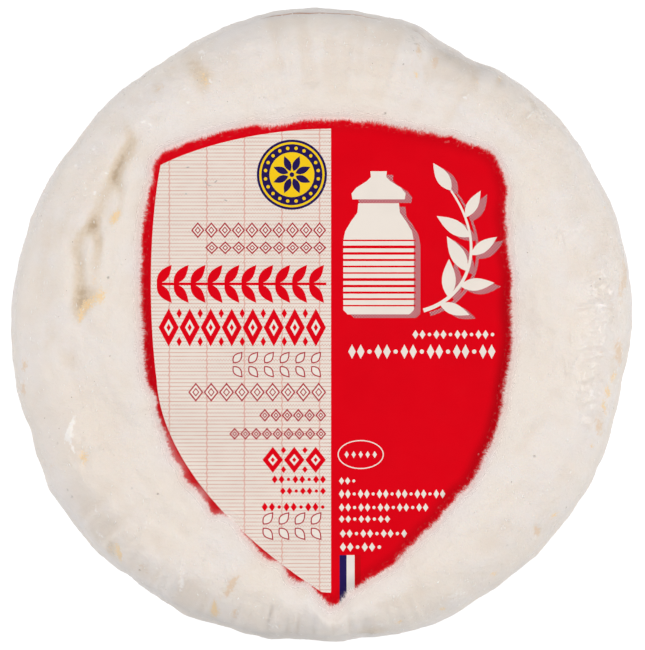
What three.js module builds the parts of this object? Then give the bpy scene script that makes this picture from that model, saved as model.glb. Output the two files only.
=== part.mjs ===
// A soft, white bloomy-rind cheese with a shield-shaped paper label sunk into its top face.
// Millimetres, +Z up. The wheel stands on its flat base with its middle at the origin,
// and +Y points to the top of the label.

import * as THREE from 'three';

// The wheel

const RADIUS = 65;
const HEIGHT = 38;
const LEAN = { towards: 248, by: 0.95 };
const RIM = { inwards: 11, down: 12, power: 2.2 };
const FOOT = { inwards: 8, up: 9, power: 2.2 };
const DOME = 1.1;
const BULGE = 0.9;

// Where the wheel's outline swells out or is dented in: degrees anticlockwise from +X, half width, millimetres.
const OUTLINE_SWELLS = [
  { at: 30, wide: 22, by: 0.85 },
  { at: 63, wide: 5, by: -0.85 },
  { at: 75, wide: 4, by: 0.9 },
  { at: 88, wide: 14, by: 1.6 },
  { at: 148, wide: 18, by: -1.15 },
  { at: 180, wide: 12, by: -0.7 },
  { at: 200, wide: 3.5, by: -0.75 },
  { at: 232, wide: 14, by: 0.5 },
  { at: 253, wide: 5, by: 0.4 },
  { at: 270, wide: 8, by: -0.5 },
  { at: 290, wide: 9, by: 0.4 },
  { at: 345, wide: 12, by: -1.3 },
];

// Where the foot of the wall spreads out past the upper rim, and the heights between which it does.
const FLARES = [
  { at: 71, wide: 9, by: 1.5 },
  { at: 100, wide: 12, by: 0.9 },
];
const FLARE_FROM = 29;
const FLARE_TO = 23;

// The paper label

const PAPER = 0.3;
const PAPER_GAP = 0.3;
const PAPER_CLEARANCE = 0.3;
const LABEL_SINK = 0.7;
const RIND_OVER_LABEL = 0.75;
const LABEL_MIDLINE = 1.8;
const BORDER = 2.8;

// The left half of the printed panel, from its top middle round to its tip, as cubic curves.
// The paper reaches one border's width past it, and the right half mirrors the left.
const PANEL_CURVES = [
  [[1.8, 40.6], [-10.8, 40.6], [-24.3, 37.7], [-33.5, 33.1]],
  [[-33.5, 33.1], [-35.5, 22.7], [-36.4, 5.1], [-34.3, -11.5]],
  [[-34.3, -11.5], [-33.6, -24.0], [-23.7, -40.6], [1.8, -56.5]],
];
const CURVE_STEPS = 24;

// How far the rind has grown in over the paper's edge, in the same form as the outline's swells.
const CREEP = 0.75;
const CREEP_SWELLS = [
  { at: 31, wide: 14, by: 2.5 },
  { at: 2, wide: 24, by: 1.9 },
  { at: 334, wide: 18, by: 2.2 },
  { at: 306, wide: 14, by: 1.7 },
  { at: 281, wide: 8, by: 1.9 },
  { at: 272, wide: 2.5, by: -1.9 },
  { at: 265, wide: 9, by: 1.5 },
  { at: 249, wide: 7, by: 1.75 },
  { at: 209, wide: 11, by: 1.45 },
  { at: 177, wide: 7, by: 0.4 },
  { at: 140, wide: 4, by: 0.9 },
  { at: 62, wide: 5, by: 0.6 },
];

// Relief of the rind

const RIDGE = { out: 4.5, wide: 3.2, by: 0.45 };

// Hollows in the top face: middle, half lengths along and across, turn in degrees, depth.
const HOLLOWS = [
  { x: -47.4, y: 4.6, long: 3.6, wide: 1.7, turn: 48, deep: 0.9 },
  { x: -43.0, y: 22.1, long: 2.2, wide: 1.4, turn: 60, deep: 0.6 },
  { x: -25.0, y: 51.6, long: 4.2, wide: 2.4, turn: 100, deep: 0.8 },
  { x: -34.0, y: 48.6, long: 2.6, wide: 2.2, turn: 80, deep: 0.7 },
  { x: -49.4, y: -27.6, long: 2.4, wide: 1.6, turn: 95, deep: 0.4 },
  { x: -42.6, y: -47.0, long: 3.2, wide: 1.6, turn: 100, deep: 0.6 },
  { x: -22.6, y: -58.4, long: 3.0, wide: 2.2, turn: 70, deep: 0.6 },
  { x: -18.6, y: -54.0, long: 4.4, wide: 1.8, turn: 52, deep: 0.4 },
  { x: 19.8, y: 51.6, long: 2.6, wide: 1.6, turn: 110, deep: 0.5 },
  { x: 27.4, y: 55.6, long: 5.0, wide: 3.0, turn: 150, deep: 0.9 },
  { x: 36.0, y: 50.0, long: 3.6, wide: 2.2, turn: 100, deep: 0.6 },
  { x: 60.0, y: -9.0, long: 7.0, wide: 2.0, turn: 100, deep: 0.5 },
  { x: 57.0, y: -21.5, long: 4.0, wide: 1.8, turn: 105, deep: 0.5 },
  { x: 44.5, y: -43.0, long: 2.6, wide: 1.6, turn: 110, deep: 0.6 },
];

// Low mounds in the top face, in the same form.
const MOUNDS = [
  { x: -28.9, y: 47.8, long: 3.6, wide: 2.6, turn: 60, deep: 0.5 },
  { x: -35.8, y: 49.4, long: 2.4, wide: 1.8, turn: 40, deep: 0.4 },
  { x: -49.0, y: 11.4, long: 5.2, wide: 1.2, turn: 88, deep: 0.5 },
  { x: 27.2, y: -55.4, long: 3.6, wide: 2.6, turn: 30, deep: 0.5 },
  { x: 56.0, y: 6.0, long: 7.5, wide: 3.0, turn: 70, deep: 0.4 },
];

// Folds in the top face: the points each runs through, its half width and its depth.
const FOLDS = [
  {
    through: [[-40.6, 41], [-40.3, 37.6], [-42.8, 31.5], [-45.6, 24.4], [-47.8, 20.6], [-51.1, 16.6], [-50.4, 9.6], [-50.9, 3.6]],
    wide: 1.8,
    deep: 1.5,
  },
  { through: [[-46.5, 18.4], [-46.8, 13.4], [-46.6, 8.6]], wide: 1.3, deep: 0.8 },
  { through: [[-27.2, 56.4], [-25.0, 51.4], [-25.2, 47.4]], wide: 1.6, deep: 0.7 },
];

// Slow waves over the whole rind: how many round the wheel, how many across it, a phase, and a height.
const WAVES = [
  { round: 3, across: 1.3, phase: 0.4, by: 0.35 },
  { round: 5, across: 2.1, phase: 2.1, by: 0.25 },
  { round: 8, across: 3.4, phase: 4.4, by: 0.18 },
  { round: 13, across: 2.7, phase: 1.2, by: 0.12 },
];

// How finely the solids are divided

const SIDES = 120;
const FLOOR_RINGS = 4;
const TOP_RINGS = 11;
const RIM_RINGS = 6;
const WALL_RINGS = 6;
const FOOT_RINGS = 4;
const PAPER_RINGS = 4;

const DEGREES = Math.PI / 180;
const bell = (x) => Math.exp(-x * x);
const mix = (a, b, t) => a + (b - a) * t;
const smooth = (t) => THREE.MathUtils.smoothstep(t, 0, 1);
const range = (count) => Array.from({ length: count }, (_, i) => i);

function turnBetween(a, b) {
  return THREE.MathUtils.euclideanModulo(a - b + 180, 360) - 180;
}

function swellAt(swells, degrees) {
  return swells.reduce((sum, s) => sum + s.by * bell(turnBetween(degrees, s.at) / s.wide), 0);
}

// Radius of the wheel's widest outline in a direction.
function wheelRadius(degrees) {
  return RADIUS + LEAN.by * Math.cos((degrees - LEAN.towards) * DEGREES) + swellAt(OUTLINE_SWELLS, degrees);
}

// The paper's outline as a closed ring of points, anticlockwise from the top middle.
function paperOutline() {
  const path = new THREE.CurvePath();
  for (const points of PANEL_CURVES) {
    path.add(new THREE.CubicBezierCurve(...points.map(([x, y]) => new THREE.Vector2(x, y))));
  }
  const left = range(CURVE_STEPS * PANEL_CURVES.length + 1).map((i) => {
    const t = i / (CURVE_STEPS * PANEL_CURVES.length);
    const along = path.getTangent(t);
    const outwards = new THREE.Vector2(along.y, -along.x).negate();
    return path.getPoint(t).addScaledVector(outwards, -BORDER);
  });
  left[0].x = LABEL_MIDLINE;
  left[left.length - 1].x = LABEL_MIDLINE;
  const right = left.slice(1, -1).reverse();
  return [...left, ...right.map((p) => new THREE.Vector2(2 * LABEL_MIDLINE - p.x, p.y))];
}

const PAPER_OUTLINE = paperOutline();

// Distance from the middle of the wheel to the paper's edge in a direction.
function paperRadius(degrees) {
  const ray = new THREE.Vector2(Math.cos(degrees * DEGREES), Math.sin(degrees * DEGREES));
  let reach = 0;
  PAPER_OUTLINE.forEach((a, i) => {
    const b = PAPER_OUTLINE[(i + 1) % PAPER_OUTLINE.length];
    const side = new THREE.Vector2().subVectors(b, a);
    const across = ray.cross(side);
    if (Math.abs(across) < 1e-9) return;
    const distance = a.cross(side) / across;
    const share = a.cross(ray) / across;
    if (distance > 0 && share >= 0 && share <= 1) reach = Math.max(reach, distance);
  });
  return reach;
}

// Distance from the middle of the wheel to where the rind ends over the paper.
function rindEdgeRadius(degrees) {
  return paperRadius(degrees) - CREEP - swellAt(CREEP_SWELLS, degrees);
}

function ovalShare({ x, y, long, wide, turn }, px, py) {
  const c = Math.cos(turn * DEGREES);
  const s = Math.sin(turn * DEGREES);
  const along = (px - x) * c + (py - y) * s;
  const across = (py - y) * c - (px - x) * s;
  return bell(Math.hypot(along / long, across / wide));
}

function distanceToFold({ through }, px, py) {
  const point = new THREE.Vector3(px, py, 0);
  const nearest = new THREE.Vector3();
  const distances = through.slice(1).map(([x1, y1], i) => {
    const [x0, y0] = through[i];
    const stretch = new THREE.Line3(new THREE.Vector3(x0, y0, 0), new THREE.Vector3(x1, y1, 0));
    return stretch.closestPointToPoint(point, true, nearest).distanceTo(point);
  });
  return Math.min(...distances);
}

function wavesAt(degrees, share) {
  return WAVES.reduce(
    (sum, w) => sum + w.by * Math.sin(w.round * degrees * DEGREES + w.phase + w.across * share * Math.PI * 2),
    0,
  );
}

// The pressed-down face that the paper lies on, and the slow shape of the rind round it.
function slowHeight(x, y) {
  const out = Math.hypot(x, y) / RADIUS;
  return HEIGHT - DOME * out * out + wavesAt(Math.atan2(y, x) / DEGREES, out) * smooth(out * 2);
}

function labelTop(x, y) {
  return slowHeight(x, y) - LABEL_SINK;
}

// Height of the rind between the label and the rim.
function rindHeight(x, y, pastLabel) {
  const ridge = RIDGE.by * bell((pastLabel - RIDGE.out) / RIDGE.wide);
  const climb = mix(-LABEL_SINK + RIND_OVER_LABEL, 0, smooth(pastLabel / RIDGE.out));
  const hollows = HOLLOWS.reduce((sum, h) => sum + h.deep * ovalShare(h, x, y), 0);
  const mounds = MOUNDS.reduce((sum, m) => sum + m.deep * ovalShare(m, x, y), 0);
  const folds = FOLDS.reduce((sum, f) => sum + f.deep * bell(distanceToFold(f, x, y) / f.wide), 0);
  return slowHeight(x, y) + climb + ridge + mounds - hollows - folds;
}

function at(degrees, radius, z) {
  return [radius * Math.cos(degrees * DEGREES), radius * Math.sin(degrees * DEGREES), z];
}

// One closed skin: a first point, rings of points that follow on from it, and a last point.
// From the ring where the skin turns back, its squares are split along their other diagonal,
// so that two parallel faces are divided alike.
function wrap(first, rings, last, turnsBack = rings.length) {
  const count = rings[0].length;
  const positions = [first, ...rings.flat(), last];
  const lastIndex = positions.length - 1;
  const index = [];
  const point = (ring, i) => 1 + ring * count + (i % count);
  for (const i of range(count)) {
    index.push(0, point(0, i), point(0, i + 1));
    for (const r of range(rings.length - 1)) {
      const [a, b, c, d] = [point(r, i), point(r + 1, i), point(r + 1, i + 1), point(r, i + 1)];
      if (r < turnsBack) index.push(a, b, c, a, c, d);
      else index.push(a, b, d, b, c, d);
    }
    index.push(point(rings.length - 1, i), lastIndex, point(rings.length - 1, i + 1));
  }
  const geometry = new THREE.BufferGeometry();
  geometry.setAttribute('position', new THREE.Float32BufferAttribute(positions.flat(), 3));
  geometry.setIndex(index);
  geometry.computeVertexNormals();
  return geometry;
}

// One upright slice through the wheel in a direction, from the label's hollow round to the base.
function cheeseSlice(degrees) {
  const edge = rindEdgeRadius(degrees);
  const wall = wheelRadius(degrees);
  const flare = swellAt(FLARES, degrees);
  const shoulder = wall - flare - BULGE;
  const rimStart = Math.max(shoulder - RIM.inwards, edge + 1);
  const slice = [];
  const add = (radius, z) => slice.push(at(degrees, radius, z));
  const floor = (radius) => {
    const [x, y] = at(degrees, radius, 0);
    return labelTop(x, y) - PAPER - PAPER_GAP;
  };
  const rind = (radius) => {
    const [x, y] = at(degrees, radius, 0);
    return rindHeight(x, y, radius - edge);
  };

  for (const i of range(FLOOR_RINGS)) {
    const radius = (edge * (i + 1)) / FLOOR_RINGS;
    add(radius, floor(radius));
  }
  for (const i of range(TOP_RINGS)) {
    const radius = mix(edge, rimStart, i / TOP_RINGS);
    add(radius, rind(radius));
  }
  for (const i of range(RIM_RINGS + 1)) {
    const turn = (i / RIM_RINGS) * 90 * DEGREES;
    const outwards = Math.sin(turn) ** (2 / RIM.power);
    const upwards = Math.cos(turn) ** (2 / RIM.power);
    const radius = mix(rimStart, shoulder, outwards);
    add(radius, rind(radius) - RIM.down * (1 - upwards));
  }
  const wallTop = slice[slice.length - 1][2];
  for (const i of range(WALL_RINGS)) {
    const z = mix(wallTop, FOOT.up, (i + 1) / (WALL_RINGS + 1));
    const out = THREE.MathUtils.smoothstep(-z, -FLARE_FROM, -FLARE_TO);
    const swell = 1 - ((2 * (z - FOOT.up)) / (wallTop - FOOT.up) - 1) ** 2;
    const ripple = 0.5 * wavesAt(degrees * 2, z / HEIGHT);
    add(mix(shoulder, wall - BULGE, out) + swell * (BULGE + ripple), z);
  }
  for (const i of range(FOOT_RINGS + 1)) {
    const turn = (i / FOOT_RINGS) * 90 * DEGREES;
    const outwards = Math.cos(turn) ** (2 / FOOT.power);
    const upwards = 1 - Math.sin(turn) ** (2 / FOOT.power);
    add(wall - BULGE - FOOT.inwards * (1 - outwards), FOOT.up * upwards);
  }
  return slice;
}

function ringsOf(sliceAt) {
  const slices = range(SIDES).map((i) => sliceAt((i * 360) / SIDES));
  return slices[0].map((_, ring) => slices.map((slice) => slice[ring]));
}

function cheeseGeometry() {
  const middle = [0, 0, labelTop(0, 0) - PAPER - PAPER_GAP];
  return wrap(middle, ringsOf(cheeseSlice), [0, 0, 0]);
}

// One upright slice through the paper, out along its printed face and back along its underside.
function paperSlice(degrees) {
  const edge = rindEdgeRadius(degrees) - PAPER_CLEARANCE;
  const face = range(PAPER_RINGS).map((i) => {
    const radius = (edge * (i + 1)) / PAPER_RINGS;
    const [x, y] = at(degrees, radius, 0);
    return [x, y, labelTop(x, y)];
  });
  const underside = face.map(([x, y, z]) => [x, y, z - PAPER]).reverse();
  return [...face, ...underside];
}

function labelGeometry() {
  const z = labelTop(0, 0);
  return wrap([0, 0, z], ringsOf(paperSlice), [0, 0, z - PAPER], PAPER_RINGS);
}

function piece(name, geometry, color, roughness) {
  const mesh = new THREE.Mesh(geometry, new THREE.MeshStandardMaterial({ color, roughness, metalness: 0 }));
  mesh.name = name;
  return mesh;
}

const cheese = new THREE.Group();
const rind = piece('cheese', cheeseGeometry(), 0xe8e1d9, 0.85);
const label = piece('label', labelGeometry(), 0xe10a1b, 0.55);

// The outline is uneven, so the whole is moved to stand with the middle of its box at the origin.
rind.geometry.computeBoundingBox();
const boxMiddle = rind.geometry.boundingBox.getCenter(new THREE.Vector3());
for (const mesh of [rind, label]) mesh.geometry.translate(-boxMiddle.x, -boxMiddle.y, 0);
cheese.add(rind, label);

export default cheese;
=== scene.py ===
"""A soft, white bloomy-rind cheese with a shield-shaped paper label sunk into its top face.

The wheel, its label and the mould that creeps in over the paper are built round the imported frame, in
metres, +Z up. Shapes are worked out in millimetres about the middle of the wheel, with +Y towards the
top of the label, and are carried into the frame at the end.
"""

import enum
import logging
import math
from collections.abc import Sequence
from dataclasses import dataclass, field

import bpy
import numpy as np
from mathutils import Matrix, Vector
from mathutils.geometry import delaunay_2d_cdt


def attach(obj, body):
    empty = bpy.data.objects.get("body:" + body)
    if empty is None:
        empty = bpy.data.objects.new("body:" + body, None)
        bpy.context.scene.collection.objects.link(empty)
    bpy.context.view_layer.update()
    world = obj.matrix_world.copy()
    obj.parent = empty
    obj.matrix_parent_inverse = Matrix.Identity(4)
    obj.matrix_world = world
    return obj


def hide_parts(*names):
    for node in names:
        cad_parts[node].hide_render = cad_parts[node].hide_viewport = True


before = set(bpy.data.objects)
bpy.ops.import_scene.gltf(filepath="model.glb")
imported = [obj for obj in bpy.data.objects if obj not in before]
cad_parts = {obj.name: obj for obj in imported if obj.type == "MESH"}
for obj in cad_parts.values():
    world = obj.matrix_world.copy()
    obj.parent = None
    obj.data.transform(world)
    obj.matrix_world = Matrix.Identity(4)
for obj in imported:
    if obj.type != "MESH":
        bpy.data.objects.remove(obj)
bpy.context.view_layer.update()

LOG = logging.getLogger("cheese")
MM = 0.001
BODY = "root"
# Where the shapes' own middle lies in the frame, in millimetres
OFFSET = np.array([0.0504, -0.1369, 0.0])

Array = np.ndarray
Colour = tuple[float, float, float]
Point = tuple[float, float]
Faces = list[tuple[int, ...]]
Socket = bpy.types.NodeSocket
Material = bpy.types.Material
Object = bpy.types.Object


def bell(x: Array) -> Array:
    """A smooth hump, 1 at 0 and nearly 0 from 2 on."""
    return np.exp(-np.square(x))


def mix(a: Array, b: Array, share: Array) -> Array:
    """The value that lies this share of the way from a to b."""
    return a + (b - a) * share


def smooth(x: Array, low: float = 0.0, high: float = 1.0) -> Array:
    """0 below low, 1 above high, and a smooth climb between them."""
    t = np.clip((x - low) / (high - low), 0.0, 1.0)
    return t * t * (3.0 - 2.0 * t)


def turned(x: Array, y: Array, degrees: float) -> tuple[Array, Array]:
    """x and y measured along and across a direction."""
    c, s = math.cos(math.radians(degrees)), math.sin(math.radians(degrees))
    return x * c + y * s, y * c - x * s


def facing(x: Array, y: Array) -> Array:
    """The way from the middle to each place, in degrees anticlockwise from +X."""
    return np.degrees(np.arctan2(y, x))


def polar(radius: Array | float, way: Array, *more: Array) -> Array:
    """Places at a radius and a way in radians, as rows, with what more each row holds."""
    return np.column_stack([radius * np.cos(way), radius * np.sin(way), *more])


def unit(rows: Array) -> Array:
    """The rows, each made 1 long."""
    return rows / np.linalg.norm(rows, axis=1, keepdims=True)


def rightwards(rows: Array) -> Array:
    """The ways of the rows, each turned a quarter to its right."""
    return np.column_stack([rows[:, 1], -rows[:, 0]])


def bezier(curve: Sequence[Point], t: Array) -> Array:
    """Places on a curve with four guiding points, at shares of the way along it."""
    a, b, c, d = (np.array(p) for p in curve)
    return a * (1 - t) ** 3 + 3 * b * t * (1 - t) ** 2 + 3 * c * t * t * (1 - t) + d * t**3


def linked(name: str, data: bpy.types.ID) -> Object:
    """Makes an object and links it to the scene.

    Args:
        name: Its name.
        data: Its mesh, lamp or lens.

    Returns:
        The object.
    """
    made = bpy.data.objects.new(name, data)
    bpy.context.scene.collection.objects.link(made)
    return made


def around(values: Sequence[float], degrees: Array) -> Array:
    """A smooth line through values that are given at even steps all round, from +X anticlockwise.

    Args:
        values: The values.
        degrees: The directions to read it in.

    Returns:
        One value for each direction.
    """
    given, count = np.array(values), len(values)
    place = np.mod(degrees, 360.0) * count / 360.0
    i = np.floor(place).astype(int)
    t = place - i
    a, b, c, d = (given[(i + n) % count] for n in (-1, 0, 1, 2))
    return b + 0.5 * t * (c - a + t * (2 * a - 5 * b + 4 * c - d + t * (3 * (b - c) + d - a)))


class Grain:
    """Seeded gradient noise, about -1 to 1, for shapes that are worked out in arrays."""

    def __init__(self, seed: int) -> None:
        """Draws the noise's table.

        Args:
            seed: The seed of the table.
        """
        rng = np.random.default_rng(seed)
        self.order = rng.permutation(256)
        self.ways = unit(rng.normal(size=(256, 3)))

    def at(self, points: Array, size: float) -> Array:
        """One layer of noise.

        Args:
            points: An (n, 3) array.
            size: The width of one lump, in the points' unit.

        Returns:
            An array of n values.
        """
        place = points / size
        corner = np.floor(place).astype(np.int64)
        inside = place - corner
        fade = inside**3 * (inside * (inside * 6.0 - 15.0) + 10.0)
        total = np.zeros(len(points))
        for step in np.ndindex(2, 2, 2):
            x, y, z = (corner + step).T % 256
            way = self.ways[self.order[(self.order[(self.order[x] + y) % 256] + z) % 256]]
            share = np.prod(np.where(step, fade, 1.0 - fade), axis=1)
            total += share * np.einsum("ij,ij->i", way, inside - step)
        return total * 1.6

    def layers(self, points: Array, size: float, count: int, falloff: float = 0.5) -> Array:
        """Several layers of noise, each half as wide as the one before."""
        return sum(self.at(points + 17.0 * i, size * 0.5**i) * falloff**i for i in range(count))


# Shapes of the wheel and the paper


@dataclass(frozen=True)
class Swell:
    """A place where an outline swells out, or is dented in where by is negative."""

    at: float
    wide: float
    by: float


Swells = tuple[Swell, ...]


def swells(*rows: tuple[float, ...]) -> Swells:
    """Swells from the numbers of each."""
    return tuple(Swell(*row) for row in rows)


def swelling(given: Swells, degrees: Array) -> Array:
    """How far the swells carry an outline out in each direction."""
    return sum(s.by * bell(((degrees - s.at + 180.0) % 360.0 - 180.0) / s.wide) for s in given)


@dataclass(frozen=True)
class Corner:
    """A quarter turn of the wheel's outline, seen from the side."""

    inwards: float
    upright: float
    power: float

    def turn(self, share: float) -> tuple[float, float]:
        """How far out and how far up a place on the corner is, as shares of its size."""
        angle = share * math.pi / 2.0
        return math.sin(angle) ** (2.0 / self.power), math.cos(angle) ** (2.0 / self.power)


@dataclass(frozen=True)
class WheelShape:
    """The wheel's outline, corners and the slow shape of its top face."""

    radius: float = 65.0
    height: float = 38.0
    rim: Corner = Corner(11.0, 12.0, 2.2)
    foot: Corner = Corner(8.0, 9.0, 2.2)
    dome: float = 1.1
    bulge: float = 0.9
    flare_from: float = 29.0
    flare_to: float = 23.0
    outline: tuple[float, ...] = (
        64.3, 64.6, 64.7, 65, 64.9, 65.1, 64.9, 64.8, 64.9, 65, 65, 64.9, 64.8, 64.7, 64.4, 63.6, 63.6, 63.9,
        65.3, 65.6, 65.4, 65.7, 65.7, 65.9, 65.8, 65.9, 65.4, 65, 64.6, 64.5, 64.3, 64.2, 64.3, 64.4, 64.2,
        63.9, 63.7, 64.1, 64.3, 64.3, 64.3, 64.3, 64.4, 64.7, 64.8, 64.7, 64.8, 65, 65.1, 65, 64.6, 65.1,
        65.5, 66.1, 65.8, 66, 66.3, 66.2, 66, 66.2, 66.4, 66.6, 66.3, 66.1, 66.2, 66.1, 65.6, 65.6, 65.7,
        65.3, 65.8, 66, 66, 66.1, 66, 65.7, 65.6, 65.6, 65.3, 65, 64.9, 64.8, 64.7, 64.4, 64.2, 63.7, 63.6,
        63.5, 63.6, 64,
    )
    wrinkle_room: float = 0.12
    crevice: Swells = swells((94, 8, 1), (84, 5, 0.5), (71, 4, 0.35))
    flares: Swells = swells((70, 6, 0.7), (90, 9, 0.25))
    waves: tuple[tuple[int, float, float, float], ...] = (
        (3, 1.3, 0.4, 0.35),
        (5, 2.1, 2.1, 0.25),
        (8, 3.4, 4.4, 0.18),
        (13, 2.7, 1.2, 0.12),
    )

    def wall_radius(self, degrees: Array) -> Array:
        """Radius of the wheel's widest outline in each direction, without its wrinkles."""
        return around(self.outline, degrees) - self.wrinkle_room

    def flare(self, degrees: Array) -> Array:
        """How far the foot of the wall stands out past the upper rim in each direction."""
        return swelling(self.flares, degrees)

    def wave(self, degrees: Array, share: Array) -> Array:
        """Height of the slow waves round the wheel.

        Args:
            degrees: The directions.
            share: How far across the wheel, 1 at the radius.

        Returns:
            Millimetres.
        """
        return sum(
            by * np.sin(turns * np.radians(degrees) + phase + across * share * math.tau)
            for turns, across, phase, by in self.waves
        )

    def slow_height(self, x: Array, y: Array) -> Array:
        """Height of the top face without its hollows, mounds and folds.

        Args:
            x: Places along +X.
            y: Places along +Y.

        Returns:
            Millimetres, one for each place.
        """
        out = np.hypot(x, y) / self.radius
        wave = self.wave(facing(x, y), out) * smooth(out * 2.0)
        return self.height - self.dome * out * out + wave


@dataclass(frozen=True)
class PaperShape:
    """The paper label's outline, and how far the rind has grown in over it."""

    midline: float = 1.8
    border: float = 2.8
    sink: float = 0.7
    curves: tuple[tuple[Point, Point, Point, Point], ...] = (
        ((1.8, 40.6), (-10.8, 40.6), (-24.3, 37.7), (-33.5, 33.1)),
        ((-33.5, 33.1), (-35.5, 22.7), (-36.4, 5.1), (-34.3, -11.5)),
        ((-34.3, -11.5), (-33.6, -24.0), (-23.7, -40.6), (1.8, -56.5)),
    )
    edge: tuple[float, ...] = (
        39.5, 39.4, 39.7, 40.3, 41, 41.3, 42.2, 43.6, 45.1, 47.6, 49.1, 50.1, 49.8, 48.3, 47.4, 46.1, 45.1,
        44.4, 43.9, 43.8, 43.1, 42.9, 42.8, 42.8, 42.8, 42.6, 42.7, 43.8, 44.6, 45.4, 46.4, 47.3, 48.1, 48.9,
        48.6, 46.6, 45, 43.7, 42.5, 41.3, 40.2, 39.5, 38.9, 38.3, 38, 37.7, 37.6, 37.9, 38, 38.3, 38.4, 38,
        39, 39.6, 40.2, 41.2, 41.4, 42.9, 43.2, 44, 45.2, 44.3, 45.7, 47.8, 49.7, 50.5, 53.7, 55.1, 58.8,
        55.9, 54, 52.7, 51.5, 49.6, 48.2, 47.4, 46.1, 45.4, 45.4, 44.7, 43.7, 43.2, 42.5, 41.7, 41.1, 40.4,
        40, 39.8, 39.7, 39.7,
    )
    inroads: Swells = swells(
        (230, 1.5, 0.25), (240, 1.3, 0.3), (262, 1.4, 0.7), (266, 1.4, -1), (222, 3, 0.3)
    )
    heavier: Swells = swells((221, 7, 0.22), (234, 2, 0.35), (244.5, 4, 0.35), (259, 2, 0.3))
    # Painted shadow of the rind's lip on the paper: its strength in each direction, greatest on the right
    dampness: Swells = swells((345, 62, 0.42), (182, 40, 0.3), (95, 40, 0.06), (240, 40, 0.2))

    def half_panel(self, margin: float = 0.0, steps: int = 40) -> Array:
        """The left half of the printed panel's outline, or of a line outside it.

        Args:
            margin: How far outside the panel the line runs.
            steps: How many points along each curve.

        Returns:
            An (n, 2) array, from the top middle round to the tip.
        """
        t = np.linspace(0.0, 1.0, steps)[:, None]
        places, ways = [], []
        for curve in self.curves:
            a, b, c, d = (np.array(p) for p in curve)
            places.append(bezier(curve, t))
            ways.append((b - a) * (1 - t) ** 2 + 2 * (c - b) * t * (1 - t) + (d - c) * t * t)
        line = np.concatenate(places) + margin * rightwards(unit(np.concatenate(ways)))
        line[[0, -1], 0] = self.midline
        return line

    def outline(self) -> Array:
        """The whole paper's outline as an (n, 2) array, anticlockwise from the top middle.

        Returns:
            The outline in millimetres.
        """
        left = self.half_panel(self.border)
        right = left[-2:0:-1] * (-1.0, 1.0) + (2.0 * self.midline, 0.0)
        return np.concatenate([left, right])

    def paper_radius(self, degrees: Array) -> Array:
        """Distance from the wheel's middle to the paper's edge in each direction.

        Args:
            degrees: The directions, anticlockwise from +X.

        Returns:
            Millimetres, one for each direction.
        """
        line = self.outline()
        way = facing(*line.T) % 360.0
        order = np.argsort(way)
        return np.interp(degrees % 360.0, way[order], np.hypot(*line[order].T), period=360.0)

    def rind_edge(self, degrees: Array) -> Array:
        """Distance from the wheel's middle to where the rind ends over the paper."""
        return around(self.edge, degrees) + swelling(self.inroads, degrees)

    def slant(self, degrees: Array) -> Array:
        """How squarely the rind's edge is crossed on the way out, 1 where it is crossed at a right angle."""
        run = (self.rind_edge(degrees + 1.0) - self.rind_edge(degrees - 1.0)) / math.radians(2.0)
        return 1.0 / np.hypot(1.0, run / self.rind_edge(degrees))

    def damp(self, x: Array, y: Array) -> Array:
        """How much painted shadow of the rind's lip darkens the paper, 0 for none.

        Args:
            x: Places along +X.
            y: Places along +Y.

        Returns:
            A share for each place.
        """
        degrees = facing(x, y)
        inwards = (self.rind_edge(degrees) - np.hypot(x, y)) * self.slant(degrees)
        damp = swelling(self.dampness, degrees) * smooth(inwards, -1.4, 1.1)
        return damp * (1.0 - smooth(inwards, 1.4, 3.7))


@dataclass(frozen=True)
class Oval:
    """A round or long spot on the top face: its middle, half lengths, turn and strength."""

    x: float
    y: float
    long: float
    wide: float
    turn: float
    by: float

    def share(self, x: Array, y: Array) -> Array:
        """How strongly the spot is felt at each place, by at its middle."""
        along, across = turned(x - self.x, y - self.y, self.turn)
        return self.by * bell(np.hypot(along / self.long, across / self.wide))


Ovals = tuple[Oval, ...]


def ovals(*rows: tuple[float, ...]) -> Ovals:
    """Spots from the numbers of each."""
    return tuple(Oval(*row) for row in rows)


def felt(spots: Ovals, x: Array, y: Array) -> Array:
    """How strongly all the spots together are felt at each place."""
    return sum(spot.share(x, y) for spot in spots)


@dataclass(frozen=True)
class Fold:
    """A crease that runs through points, each with its own half width and depth."""

    through: tuple[tuple[float, float, float, float], ...]

    def depth(self, x: Array, y: Array) -> Array:
        """How deep the crease is at each place.

        Args:
            x: Places along +X.
            y: Places along +Y.

        Returns:
            Millimetres, one for each place.
        """
        best = np.full(np.shape(x), 1e9)
        depth = np.zeros(np.shape(x))
        for (x0, y0, w0, d0), (x1, y1, w1, d1) in zip(self.through, self.through[1:]):
            way = np.array([x1 - x0, y1 - y0])
            t = np.clip(((x - x0) * way[0] + (y - y0) * way[1]) / (way @ way), 0.0, 1.0)
            off = np.hypot(x - x0 - t * way[0], y - y0 - t * way[1]) / (1.35 * mix(w0, w1, t))
            nearer = off < best
            best = np.where(nearer, off, best)
            depth = np.where(nearer, mix(d0, d1, t) * bell(off), depth)
        return depth


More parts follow.
